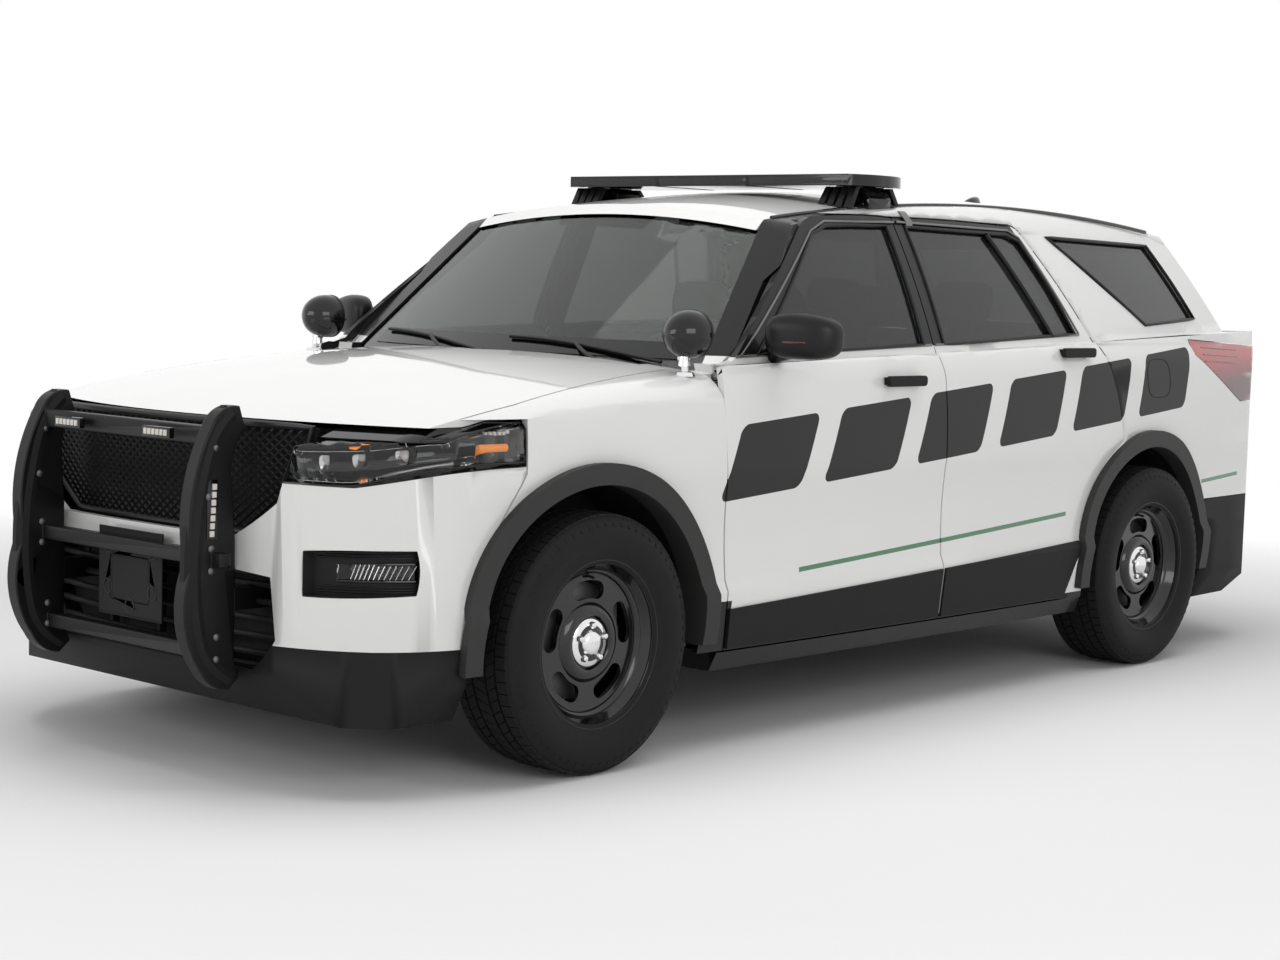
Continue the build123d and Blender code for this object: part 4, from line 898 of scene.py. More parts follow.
FOG_LINE = [(0.6415, 0.5465), (0.8665, 0.5565), (0.8665, 0.6735), (0.6415, 0.6665)]


def make_fog_lamps():
    """Clear light bar in a black recess with a ribbed panel below it."""
    dressed("fog_bezels", "trim")
    dressed("fog_lamps", "lens")
    cover, shell = surface_of("front_bumper_cover"), surface_of("fog_lamps")
    middle = (0.754, 0.61)
    rows = []
    for x, z in along_outline(FOG_LINE, 0.02) + [FOG_LINE[0]]:
        out = (x + 0.006 * math.copysign(1, x - middle[0]), z + 0.006 * math.copysign(1, z - middle[1]))
        face = ahead(cover, *out) or place(x, -0.70, z)
        rows.append([Vector((x, face.y + depth, z)) for depth in (0.0005, 0.020, 0.052)])
    liner = ribbon(rows, 0.0018)
    fins, ribs, frames = [], [], []
    for x in np.linspace(0.708, 0.840, 15):
        top, foot = ahead(shell, x + 0.006, 0.634, -0.004), ahead(shell, x - 0.006, 0.592, -0.004)
        if top and foot:
            fins.append(tube([top, foot], 0.0022))
    for z in (0.590, 0.636):
        frames.append(tube(traced(ahead(shell, x, z, 0.001) for x in np.linspace(0.702, 0.848, 10)), 0.0045))
    bezel = surface_of("fog_bezels")
    for z in (0.560, 0.5675, 0.575, 0.652, 0.660):
        ribs.append(tube(traced(ahead(bezel, x, z, 0.001) for x in np.linspace(0.655, 0.855, 12)), 0.0022))
    for name, finish, meshes in (("fog_lamp_fins", "reflector", fins), ("fog_lamp_frames", "gloss", frames),
                                 ("fog_recess_ribs", "satin", ribs), ("fog_recess_liners", "trim", [liner])):
        add(name, both(name, meshes), finish, "car")


def make_tail_lamps():
    """Red lenses and their bars."""
    dressed("tail_lamps", "red_lens")
    shell = surface_of("tail_lamps")
    bars = []
    for z in (1.187, 1.160, 1.133):
        path = [on_side(shell, 1, back, z + 0.04 * (3.8 - back), 0.0008) for back in np.linspace(3.50, 3.80,
                                                                                                 14)]
        bars.append(tube(path, 0.0022))
    add("tail_lamp_bars", both("bars", bars), "dark_red", "car")


# ------------------------------------------------------------------ grille
GRILLE_LINE = [(-0.618, 0.990), (-0.560, 0.791), (-0.399, 0.691), (0.399, 0.691), (0.560, 0.791), (0.618,
                                                                                                   0.990)]
INTAKE_LINE = [(-0.470, 0.331), (0.470, 0.331), (0.558, 0.420), (0.540, 0.584), (-0.540, 0.584), (-0.558,
                                                                                                  0.420)]


def clipped(point, direction, outline):
    """Ends of a straight line inside a convex outline."""
    low, high = -9.0, 9.0
    for (x0, z0), (x1, z1) in zip(outline, outline[1:] + outline[:1]):
        out = (z1 - z0, -(x1 - x0))
        rate = direction[0] * out[0] + direction[1] * out[1]
        lead = (x0 - point[0]) * out[0] + (z0 - point[1]) * out[1]
        if abs(rate) < 1e-9:
            if lead < 0:
                return None
            continue
        if rate > 0:
            high = min(high, lead / rate)
        else:
            low = max(low, lead / rate)
    return (low, high) if high - low > 0.015 else None


def grille_y(x):
    """Depth of the grille across its width."""
    return AXLE_Y - 0.822 + 0.045 * (x / 0.56) ** 2


def make_grille():
    """Scale-like lattice of crossed bars with a dark screen behind it."""
    bars = []
    pitch_x, pitch_z = 0.034, 0.025
    for lean in (1, -1):
        direction = (pitch_x, lean * pitch_z)
        for k in range(-56, 57):
            start = (k * pitch_x, 0.83)
            ends = clipped(start, direction, GRILLE_LINE)
            if ends is None:
                continue
            path = [(start[0] + direction[0] * t, start[1] + direction[1] * t) for t in np.linspace(*ends, 8)]
            bars.append(tube([Vector((x, grille_y(x) - 0.0012 * lean, z)) for x, z in path], 0.0036,
                             resolution=0))
    edge = [Vector((x, grille_y(x) - 0.006, z)) for x, z in along_outline(GRILLE_LINE, 0.06)]
    bars.append(tube(edge, 0.010, closed=True))
    add("grille_lattice", joined("lattice", bars), "satin", "car", ("grilles",))
    rows = [[Vector((x, grille_y(x) + 0.02, z)) for x in np.linspace(-w, w, 15)]
            for z, w in ((0.692, 0.40), (0.791, 0.555), (0.988, 0.614))]
    add("grille_screen", ribbon(rows, 0.004), "trim", "car")
    slats = []
    for k in range(5):
        z = 0.365 + 0.047 * k
        ends = clipped((0, z), (1, 0), INTAKE_LINE)
        slats.append(tube([Vector((x, grille_y(x) + 0.006, z)) for x in np.linspace(*ends, 13)], 0.009))
    for x in (-0.24, 0.0, 0.24):
        slats.append(block((x - 0.006, grille_y(x) + 0.006, 0.335), (x + 0.006, grille_y(x) + 0.03, 0.582),
                           0.002))
    rim = [Vector((x, grille_y(x), z)) for x, z in along_outline(INTAKE_LINE, 0.08)]
    slats.append(tube(rim, 0.008, closed=True))
    add("intake_slats", joined("slats", slats), "trim", "car")
    rows = [[Vector((x, grille_y(x) + 0.05, z)) for x in np.linspace(-w, w, 11)]
            for z, w in ((0.333, 0.46), (0.42, 0.545), (0.582, 0.53))]
    add("intake_screen", ribbon(rows, 0.004), "inner", "car")


# ------------------------------------------------------------------ push bumper
def make_push_bumper():
    """Rubbers, bolts, lights and the plate bracket."""
    dressed("push_bumper", "powder", bevel=0.005)
    dressed("plate_bracket", "trim", bevel=0.002)
    low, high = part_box("push_bumper")
    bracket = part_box("plate_bracket")
    front = low.y
    edge = [(0.126, 0.30), (0.045, 0.345), (0.012, 0.47), (0.004, 0.62), (0.016, 0.76), (0.045, 0.90),
            (0.082, 0.985),
            (0.125, 1.02)]
    strips = []
    for sign in (1, -1):
        path = [Vector((sign * UPRIGHT_X, front + back + 0.0315, z)) for back, z in edge]
        strips.append(tube(path, 0.030, smooth=True))
    add("push_bumper_rubbers", joined("rubbers", strips), "rubber", "car")
    bolt = lathe([(0.0, 0.0005), (0.0, 0.009), (0.003, 0.010), (0.006, 0.0075), (0.008, 0.0005)], (0, 0, 0),
                 16)
    spots = [(0.085, 0.60), (0.085, 0.66), (0.105, 0.36), (0.105, 0.42), (0.095, 0.93), (0.075, 0.80)]
    rows = []
    for sign in (1, -1):
        for back, z in spots:
            for out in (1, -1):
                rows.append(moved(bolt.copy(), Matrix.Translation((sign * UPRIGHT_X + out * 0.0238,
                        front + back,
                                                                   z))
                                  @ Matrix.Scale(out, 4, (1, 0, 0))))
    add("push_bumper_bolts", joined("bolts", rows), "cast", "car")
    chip = block((-0.004, -0.007, -0.008), (0.004, 0.007, 0.008), 0.0015)
    strip = repeated(chip, "led", 7, centre=(0.4262, front + 0.085, 0.70), step=(0, 0.0012, 0.021))
    back_strip = block((0.4235, front + 0.070, 0.685), (0.4262, front + 0.104, 0.845), 0.001)
    add("push_bumper_led_left", strip, None, "car")
    add("push_bumper_led_right", mirrored(strip), None, "car")
    add("push_bumper_led_backs", both("backs", [back_strip]), "gloss", "car")
    modules = [block((x - 0.062, front + 0.058, 0.945), (x + 0.062, front + 0.075, 0.975), 0.004)
               for x in (-MODULE_X, MODULE_X)]
    add("push_bumper_modules", joined("modules", modules), "gloss", "car")
    for k, x in enumerate((-MODULE_X, MODULE_X)):
        small = block((-0.006, -0.003, -0.008), (0.006, 0.003, 0.008), 0.0015)
        add(f"push_bumper_lights_{k + 1}", repeated(small, "led", 6, centre=(x - 0.045, front + 0.057, 0.960),
                                                    step=(0.018, 0, 0)), None, "car")
    low, high = bracket
    plate = block((low.x, low.y + 0.002, low.z), (high.x, high.y, high.z), 0.002)
    lips = [block((low.x, low.y, z - 0.004), (high.x, low.y + 0.004, z + 0.004), 0.0015)
            for z in (low.z + 0.004, high.z - 0.004)]
    add("plate_bracket_plate", joined("plate", [plate] + lips), "satin", "car",
        ("plate_bracket",))
    cups, wells = [], []
    for x, z in ((-0.105, 0.615), (0.105, 0.615), (-0.105, 0.500), (0.105, 0.500), (0.0, 0.455)):
        rows = [(0.0022, 0.0160), (-0.0012, 0.0185), (-0.0012, 0.0215), (0.0022, 0.0235)]
        cups.append(lathe(rows, (x, low.y, z), 32, "Y"))
        wells.append(lathe([(0.0012, 0.0005), (0.0004, 0.0170), (0.0024, 0.0170), (0.0024, 0.0005)],
                           (x, low.y, z), 32, "Y"))
    add("plate_bracket_cups", joined("cups", cups), "satin", "car")
    add("plate_bracket_wells", joined("wells", wells), "rubber", "car")


# ------------------------------------------------------------------ roof equipment
def make_light_bar():
    """Low bar in three segments on splayed feet, tied down by a strap at each side."""
    low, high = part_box("light_bar")
    dressed("light_bar", "gloss", bevel=0.009)
    top, front, rear = high.z, low.y, high.y
    lenses, seams = [], []
    for x0, x1 in ((-0.635, -0.215), (-0.205, 0.205), (0.215, 0.635)):
        lenses.append(block((x0, front - 0.0008, top - 0.031), (x1, front + 0.020, top - 0.009), 0.005))
        lenses.append(block((x0, rear - 0.020, top - 0.031), (x1, rear + 0.0008, top - 0.009), 0.005))
    for x in (-0.21, 0.21):
        seams.append(block((x - 0.011, front - 0.001, top - 0.039), (x + 0.011, rear + 0.001, top), 0.003))
    add("light_bar_lenses", joined("lenses", lenses), "side_glass", "car")
    add("light_bar_seams", joined("seams", seams), "satin", "car")
    roof = surface_of("roof_panel", "body_side_left")
    fins = []
    for x in (0.530, 0.566, 0.602, 0.638):
        for back in (-0.085, 0.078):
            y = (front + rear) / 2 + back
            foot = below(roof, x, y + back * 0.45, ROOF_EDGE_Z).z
            points = [(x - 0.011, y, top - 0.040), (x + 0.011, y, top - 0.040),
                      (x + 0.014, y + back * 0.45, foot + 0.001), (x - 0.014, y + back * 0.45, foot + 0.001)]
            fins.append(prism([Vector(p) for p in points], (0, math.copysign(0.022, back), 0), 0.002))
    add("light_bar_feet", both("fins", fins), "powder", "car")
    straps = []
    middle = (front + rear) / 2 + 0.075
    for shift in (-0.019, 0.019):
        path = []
        for x in (0.560, 0.590, 0.620, 0.645):
            path.append(below(roof, x, middle + shift, ROOF_EDGE_Z) + Vector((0, 0, 0.0022)))
        back = middle + shift - AXLE_Y
        path += [cabin_side(1, back, z, 0.003) for z in (1.625, 1.605)]
        path.insert(4, on_side(roof, 1, back, 1.655, 0.003))
        straps.append(path)
    mesh = ribbon([[a, b] for a, b in zip(*straps)], 0.002)
    add("light_bar_straps", both("straps", [mesh]), "bright", "car")


def make_spotlights():
    """Egg-shaped spotlights, parked facing back, on chromed arms."""
    middle = place(0.840, 0.450, 1.248)
    egg = [(0.052, 0.001), (0.052, 0.064), (0.046, 0.0725), (0.026, 0.0735), (0.004, 0.071), (-0.016, 0.064),
           (-0.034, 0.0525), (-0.048, 0.036), (-0.0565, 0.018), (-0.0595, 0.001)]
    glass = [(0.0525, 0.001), (0.0525, 0.060), (0.0575, 0.040), (0.0595, 0.001)]
    ring = [(0.046, 0.060), (0.0555, 0.060), (0.0585, 0.066), (0.055, 0.0735), (0.046, 0.0735)]
    arm = tube([middle + Vector((0.004, 0.0, -0.060)), middle + Vector((0.010, -0.002, -0.082)),
                middle + Vector((0.018, -0.004, -0.122))], 0.011)
    cuff = lathe([(-0.016, 0.001), (-0.016, 0.019), (0.012, 0.015), (0.012, 0.001)],
                 middle + Vector((0.007, 0.0, -0.078)), 28, "Z")
    fork = block(middle + Vector((-0.010, -0.012, -0.078)), middle + Vector((0.022, 0.012, -0.066)), 0.004)
    foot = lathe([(-0.008, 0.001), (-0.008, 0.030), (0.004, 0.026), (0.008, 0.012), (0.008, 0.001)],
                 middle + Vector((0.018, -0.004, -0.116)), 28, "Z")
    sets = (("spotlight_shells", "gloss", [lathe(egg, middle, 56, "Y")], ("spotlights",), "gloss_black"),
            ("spotlight_lenses", "reflector", [lathe(glass, middle, 48, "Y")], (), "lamp"),
            ("spotlight_rings", "satin", [lathe(ring, middle, 56, "Y")], (), "gloss_black"),
            ("spotlight_arms", "chrome", [arm, cuff, fork, foot], (), "bare_steel"))
    for name, finish, meshes, stands_for, slot in sets:
        add(name, both(name, meshes), finish, "car", stands_for)


def make_mirrors():
    """Rounded door mirrors with their glass, marker and foot."""
    for side, sign in SIDES:
        low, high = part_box(f"mirror_{side}")
        inner, outer = sorted((abs(low.x), abs(high.x)))
        inner, foot_z = inner + 0.026, low.z
        middle = Vector((sign * (inner + outer) / 2, (low.y + high.y) / 2, (low.z + 0.012 + high.z) / 2))
        half = Vector(((outer - inner) / 2 - 0.001, (high.y - low.y) / 2 - 0.001,
                       (high.z - low.z) / 2 - 0.008))
        build = bmesh.new()
        bmesh.ops.create_uvsphere(build, u_segments=56, v_segments=32, radius=1.0)
        for vert in build.verts:
            shape = Vector([math.copysign(abs(c) ** power, c) for c, power in zip(vert.co, (0.66, 0.74,
                                                                                            0.62))])
            outboard = shape.x * sign
            shape.y = shape.y * 0.62 + 0.34 * outboard
            if shape.y > 0.30 + 0.34 * outboard:
                shape.y = 0.30 + 0.34 * outboard + (shape.y - 0.30 - 0.34 * outboard) * 0.25
            shape.z = (shape.z + 0.10) * (1.0 - 0.16 * max(0.0,
                    outboard)) - 0.06 if shape.z > 0 else shape.z * 0.96
            vert.co = Vector((shape.x * half.x, shape.y * half.y, shape.z * half.z)) + middle
        add(f"mirror_housing_{side}", to_mesh("housing", build), "satin", f"front_door_{side}",
            (f"mirror_{side}",), smooth=60)
        pane = []
        for t in np.linspace(0, 2 * math.pi, 41)[:-1]:
            across = 0.80 * math.copysign(abs(math.cos(t)) ** 0.55, math.cos(t))
            rise = 0.74 * math.copysign(abs(math.sin(t)) ** 0.55, math.sin(t))
            pane.append(middle + Vector((sign * across * half.x, (0.40 + 0.34 * across) * half.y,
                                         rise * half.z)))
        add(f"mirror_glass_{side}", prism(pane, (0, 0.004, 0), 0.001), "mirror", f"front_door_{side}")
        foot = tube([Vector((sign * 0.908, middle.y + 0.010, foot_z + 0.026)),
                     Vector((sign * 0.945, middle.y + 0.004, foot_z + 0.028)),
                     Vector((sign * 1.00, middle.y, foot_z + 0.045))], 0.025, smooth=True)
        add(f"mirror_foot_{side}", foot, "satin", f"front_door_{side}")
        shell = BVHTree.FromBMesh(bmesh_of(bpy.data.objects[f"mirror_housing_{side}"].data))
        marker = []
        for across in np.linspace(-0.030, 0.042, 9):
            start = Vector((middle.x + sign * across, middle.y - 1, middle.z - 0.016))
            hit, _, _, _ = shell.ray_cast(start, Vector((0, 1, 0)))
            marker.append((hit or start) + Vector((0, -0.0005, 0)))
        add(f"mirror_marker_{side}", tube(marker, 0.0042), "dark_red", f"front_door_{side}")


def bmesh_of(mesh):
    """A bmesh filled from a mesh."""
    build = bmesh.new()
    build.from_mesh(mesh)
    return build


# ------------------------------------------------------------------ wheels
def make_tyres():
    """Carcasses and the tread that repeats round them."""
    s = bpy.context.scene.suv_wheels
    w, r = TYRE_HALF_WIDTH, WHEEL_RADIUS
    base = r - s.groove
    half = [(0.104, 0.228), (0.109, 0.236), (0.1115, 0.249), (0.118, 0.262), (0.1235, 0.278), (w - 0.001,
                                                                                               0.297),
            (w, 0.312), (w - 0.002, 0.328), (w - 0.0065, 0.343), (w - 0.012, 0.353), (w - 0.016, 0.3585),
            (w - 0.024, base - 0.002), (0.080, base)]
    inner = [(-0.098, 0.232), (-0.106, 0.285), (-0.100, 0.335), (0.100, 0.335), (0.106, 0.285), (0.098,
                                                                                                 0.232)]
    rows = half + [(-x, q) for x, q in reversed(half)] + inner
    block_rows = [(-0.104, -0.070), (-0.062, -0.030), (-0.022, 0.022), (0.030, 0.062), (0.070, 0.104)]
    pitch = 2 * math.pi * r / s.blocks
    stamps = []
    for k, (x0, x1) in enumerate(block_rows):
        shoulder = k in (0, 4)
        lean = 0 if shoulder else (0.25 if k % 2 else -0.25) * pitch
        shift = pitch * 0.25 * (k % 2)
        y0, y1 = shift - pitch * 0.46, shift + pitch * 0.44
        drop = 0.004 if shoulder else 0.0
        top0 = r - (drop if k == 0 else 0) - 0.0016
        top1 = r - (drop if k == 4 else 0) - 0.0016
        points = [(x0, y0 - lean, base - 0.003), (x1, y0 + lean, base - 0.003), (x1, y1 + lean, base - 0.003),
                  (x0, y1 - lean, base - 0.003), (x0, y0 - lean, top0), (x1, y0 + lean, top1),
                  (x1, y1 + lean, top1), (x0, y1 - lean, top0)]
        build = bmesh.new()
        verts = [build.verts.new(p) for p in points]
        for face in ((0, 3, 2, 1), (4, 5, 6, 7), (0, 1, 5, 4), (1, 2, 6, 5), (2, 3, 7, 6), (3, 0, 4, 7)):
            build.faces.new([verts[i] for i in face])
        stamps.append(to_mesh("stamp", build))
    for sign in (1, -1):
        fin = [(sign * (w - 0.0185), 0.3565), (sign * (w - 0.0045), 0.3385), (sign * (w - 0.0030), 0.3395),
               (sign * (w - 0.0165), 0.3600)]
        points = [Vector((x, -0.0045, q)) for x, q in fin]
        stamps.append(prism(points, (0, 0.009, 0)))
    stamp = joined("tread", stamps)
    for node_name, centre in wheel_places("tyre"):
        body = frame["nodes"][node_name]["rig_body"]
        carcass = lathe(rows, centre, 128)
        add(node_name + "_carcass", carcass, "tyre", body, (node_name,), smooth=40)
        tread = repeated(stamp, "tyre", s.blocks, centre=tuple(centre), turn=(2 * math.pi / s.blocks, 0, 0))
        add(node_name + "_tread", tread, None, body, smooth=25)


def wheel_places(kind):
    """Names and middles of the four wheels."""
    result = []
    for spot, wheel in (("front", FRONT_WHEEL), ("rear", REAR_WHEEL)):
        for side, sign in SIDES:
            result.append((f"{spot}_{kind}_{side}", Vector((sign * wheel.x, wheel.y, wheel.z))))
    return result


def make_rims():
    """Pressed rims, caps, nuts and valves."""
    s = bpy.context.scene.suv_wheels
    for node_name, centre in wheel_places("rim"):
        body = frame["nodes"][node_name]["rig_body"]
        sign = 1 if centre.x > 0 else -1
        dressed(node_name, "wheel", bevel=0.003)
        name = node_name.replace("rim", "wheel")
        ring = lathe([(sign * a, q) for a, q in ((0.060, 0.196), (0.068, 0.200), (0.072, 0.208), (0.066,
                                                                                                  0.215),
                                                 (0.058, 0.212))], centre, 96)
        boss = lathe([(sign * a, q) for a, q in ((0.058, 0.072), (0.074, 0.078), (0.078, 0.092), (0.070,
                                                                                                  0.108),
                                                 (0.058, 0.116))], centre, 72)
        add(name + "_pressings", joined("pressings", [ring, boss]), "wheel", body, smooth=45)
        cap = lathe([(sign * a, q) for a, q in ((0.060, 0.001), (0.060, 0.071), (0.068, 0.070), (0.073,
                                                                                                 0.064),
                                                (0.0745, 0.038), (0.083, 0.034), (0.088, 0.027), (0.0905,
                                                                                                  0.012),
                                                (0.091, 0.001))], centre, 64)
        add(name + "_cap", cap, "chrome", body, smooth=40)
        nut = lathe([(sign * a, q) for a, q in ((0.070, 0.0005), (0.070, 0.0105), (0.082, 0.0100), (0.0865,
                                                                                                    0.0070),
                                                (0.088, 0.0005))], (0, 0, 0.0515), 20)
        nuts = repeated(nut, "chrome", s.lugs, centre=tuple(centre), turn=(2 * math.pi / s.lugs, 0, 0))
        add(name + "_nuts", nuts, None, body, smooth=40)
        valve = tube([centre + Vector((sign * 0.058, 0.0, 0.190)), centre + Vector((sign * 0.080, 0.0,
                                                                                    0.186))], 0.004)
        add(name + "_valve", valve, "rubber", body)


# ------------------------------------------------------------------ cabin
def cushion(low, high):
    """Stuffed block: a coarse cage with rounded corners, for subdivision."""
    build = bmesh.new()
    bmesh.ops.create_cube(build, size=2.0)
    bmesh.ops.subdivide_edges(build, edges=build.edges[:], cuts=3, use_grid_fill=True)
    low, high = Vector(low), Vector(high)
    half, middle = (high - low) / 2, (high + low) / 2
    for vert in build.verts:
        unit = vert.co.copy()
        pull = 1 - 0.06 * (abs(unit.x * unit.y) ** 2 + abs(unit.y * unit.z) ** 2 + abs(unit.z * unit.x) ** 2)
        vert.co = Vector(c * h * pull for c, h in zip(unit, half)) + middle
    return to_mesh("cushion", build)


def tilted(mesh, angle, pivot):
    """The mesh turned about a crosswise axis."""
    matrix = Matrix.Translation(pivot) @ Matrix.Rotation(angle, 4, "X") @ Matrix.Translation(-Vector(pivot))
    return moved(mesh, matrix)


SEATS = (("driver", 0.380, 1.500, 0.260, 0.350), ("passenger", -0.380, 1.500, 0.260, 0.350),
         ("rear", 0.0, 2.235, 0.625, 0.375))


def make_seats():
    """Padded seats, posts and bases."""
    first = True
    for name, x, back, half, floor in SEATS:
        pivot = place(x, back + 0.26, floor + 0.30)
        base = tilted(cushion(place(x - half, back - 0.255, floor + 0.195),
                              place(x + half, back + 0.245, floor + 0.335)),
                      math.radians(4), place(x, back, floor + 0.26))
        rest = tilted(cushion(place(x - half + 0.02, back + 0.205, floor + 0.30),
                              place(x + half - 0.02, back + 0.325, floor + 0.88)), math.radians(-13.5), pivot)
        heads = []
        count = 2 if name == "rear" else 1
        for k in range(count):
            head_x = x + (k - (count - 1) / 2) * half
            heads.append(tilted(cushion(place(head_x - 0.125, back + 0.390, floor + 0.905),
                                        place(head_x + 0.125, back + 0.462, floor + 1.055)), math.radians(-8),
                                place(head_x, back + 0.42, floor + 0.97)))
        for part, mesh in (("cushion", base), ("backrest", rest), ("headrest", joined("heads", heads))):
            stands_for = ("seats",) if first else ()
            first = False
            piece = add(f"{name}_seat_{part}", mesh, "cloth", "car", stands_for, smooth=180)
            levels = piece.modifiers.new("round", "SUBSURF")
            levels.levels = levels.render_levels = 2
        posts = []
        for k in range(count):
            head_x = x + (k - (count - 1) / 2) * half
            for shift in (-0.06, 0.06):
                posts.append(tube([place(head_x + shift, back + 0.39, floor + 0.84),
                                   place(head_x + shift, back + 0.42, floor + 0.95)], 0.006))
        plinth = block(place(x - half + 0.07, back - 0.19, 0.3515),
                       place(x + half - 0.07, back + 0.21, floor + 0.21), 0.01)
        add(f"{name}_seat_posts", joined("posts", posts), "steel", "car")
        add(f"{name}_seat_base", plinth, "inner", "car")


def make_cabin():
    """Dashboard, wheel, floor and screen."""
    dressed("dashboard", "inner", bevel=0.006)
    dressed("steering_wheel", "satin", bevel=0.003)
    dressed("floor_pan", "inner")
    screen = block(place(-0.10, 0.872, 0.93), place(0.14, 0.905, 1.055), 0.004)
    add("console_screen", screen, "gloss", "car")


# ------------------------------------------------------------------ underbody
def arc_sheet(centre_y, radius, x0, x1, start, end, thickness):
    """Part of a drum round an axle, such as a wheel-arch liner."""
    rows = []
    for t in np.linspace(math.radians(start), math.radians(end), 28):
        rows.append([Vector((x, centre_y + radius * math.cos(t), ARCH_CENTRE_Z + radius * math.sin(t)))
                     for x in (x0, (x0 + x1) / 2, x1)])
    return ribbon(rows, thickness)


def make_underbody():
    """Chassis parts and wheel-arch liners."""
    for name, finish, slot in (
            ("front_frame", "powder", "black_steel"), ("engine_block", "cast", "cast"),
            ("front_suspension", "powder", "black_steel"), ("rear_suspension", "cast", "cast"),
            ("front_knuckle_left", "cast", "cast"), ("front_knuckle_right", "cast", "cast"),
            ("fuel_tank", "trim", "dark_trim"), ("exhaust", "steel", "bare_steel")):
        dressed(name, finish, bevel=0.003)
    liners = []
    for sign in (1, -1):
        sheet = arc_sheet(AXLE_Y, ARCH_RADIUS + 0.008, 0.66, 0.925, -8, 188, 0.003)
        liners.append(sheet if sign > 0 else mirrored(sheet))
        wall = block((0.640, AXLE_Y - 0.40, 0.60), (0.643, AXLE_Y + 0.40, 0.90), 0.0005)
        liners.append(wall if sign > 0 else mirrored(wall))
        sheet = arc_sheet(REAR_WHEEL.y, ARCH_RADIUS + 0.006, 0.645, 0.915, -8, 188, 0.003)
        liners.append(sheet if sign > 0 else mirrored(sheet))
    add("wheel_arch_liners", joined("liners", liners), "trim", "car")


# ------------------------------------------------------------------ small trim
def make_cowl_and_wipers():
    """Cowl panel and two wipers."""
    glass = surface_of("fixed_windows")
    rows = []
    for x in np.linspace(-0.74, 0.74, 23):
        sweep = 0.20 * (x / 0.86) ** 2
        rows.append([place(x, 0.398 + sweep * 0.30, 1.128 - 0.012 * (x / 0.74) ** 2),
                     place(x, 0.455 + sweep * 0.62, 1.132 - 0.012 * (x / 0.74) ** 2)])
    add("cowl_panel", ribbon(rows, 0.003), "trim", "car")
    blades = []
    for root, tip in ((0.66, 0.02), (-0.02, -0.66)):
        path = []
        for k, x in enumerate(np.linspace(root, tip, 14)):
            z = 1.150 + 0.055 * math.sin(math.pi * k / 26)
            hit, _, _, _ = glass.ray_cast(Vector((x, -5, z)), Vector((0, 1, 0)))
            path.append((hit if hit else place(x, 0.47, z)) + Vector((0, -0.010, 0.006)))
        blades.append(tube(path, 0.006))
        arm = [place(root - 0.10, 0.450, 1.138), place(root - 0.20, 0.448, 1.150), path[7] + Vector((0,
                -0.006, 0.006))]
        blades.append(tube(arm, 0.0065, smooth=True))
    add("wipers", joined("wipers", blades), "satin", "car")


def make_roof_trim():
    """Roof antenna."""
    base = place(0, 3.14, 0)
    roof = surface_of("roof_panel")
    foot = below(roof, 0, base.y, ROOF_EDGE_Z).z - 0.003
    rows = []
    for t in np.linspace(0, 1, 9):
        y = base.y - 0.075 + 0.15 * t
        height = 0.058 * math.sin(math.pi * min(1, t * 0.62 + 0.02)) ** 0.8 if t < 0.98 else 0.035
        width = 0.028 * math.sin(math.pi * (0.12 + 0.80 * t))
        rows.append([Vector((width * math.cos(a), y, foot + height * math.sin(a))) for a in np.linspace(0,
                math.pi, 9)])
    build = bmesh.new()
    grid = [[build.verts.new(p) for p in row] for row in rows]
    for a, b in zip(grid, grid[1:]):
        for i in range(len(a) - 1):
            build.faces.new((a[i], a[i + 1], b[i + 1], b[i]))
        build.faces.new((a[-1], a[0], b[0], b[-1]))
    build.faces.new(grid[0])
    build.faces.new(grid[-1])
    add("roof_antenna", to_mesh("antenna", build), "gloss", "car", smooth=60)


def make_tail_trim():
    """Blank plate, lock handle, rear wiper and reflectors."""
    gate = surface_of("liftgate", "liftgate_glass")
    tail = surface_of("rear_bumper_cover", "rear_valance")

    def on_tail(tree, x, z, proud):
        hit, _, _, _ = tree.ray_cast(Vector((x, 5, z)), Vector((0, -1, 0)))
        return hit + Vector((0, proud, 0)) if hit else Vector((x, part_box("liftgate")[1].y, z))
    spot = on_tail(gate, 0, 0.90, 0.003)
    add("rear_plate", block(spot - Vector((0.152, 0.004, 0.076)), spot + Vector((0.152, 0.002, 0.076)),
                            0.002),
        "blank", "liftgate")
    spot = on_tail(gate, 0, 1.02, 0.004)
    add("liftgate_handle", block(spot - Vector((0.22, 0.020, 0.016)), spot + Vector((0.22, 0.004, 0.016)),
                                 0.006),
        "satin", "liftgate")
    path = [on_tail(gate, x, 1.30 + 0.04 * x, 0.012) for x in np.linspace(-0.02, 0.34, 8)]
    add("rear_wiper", tube(path, 0.006), "satin", "liftgate")
    marks = []
    for sign in (1, -1):
        spot = on_tail(tail, sign * 0.70, 0.52, 0.0015)
        marks.append(block(spot - Vector((0.07, 0.01, 0.012)), spot + Vector((0.07, 0.002, 0.012)), 0.002))
    add("rear_reflectors", joined("marks", marks), "dark_red", "car")


def make_fuel_flap():
    """Shut line of the fuel flap."""
    shell = surface_of("body_side_left")
    ring = []
    for t in np.linspace(0, 2 * math.pi, 49)[:-1]:
        u = 0.088 * math.copysign(abs(math.cos(t)) ** 0.6, math.cos(t))
        v = 0.072 * math.copysign(abs(math.sin(t)) ** 0.6, math.sin(t))
        ring.append(on_side(shell, 1, 3.10 + u, 1.085 + v, -0.0002))
    add("fuel_flap_line", tube(ring, 0.0016, closed=True), "trim", "car")


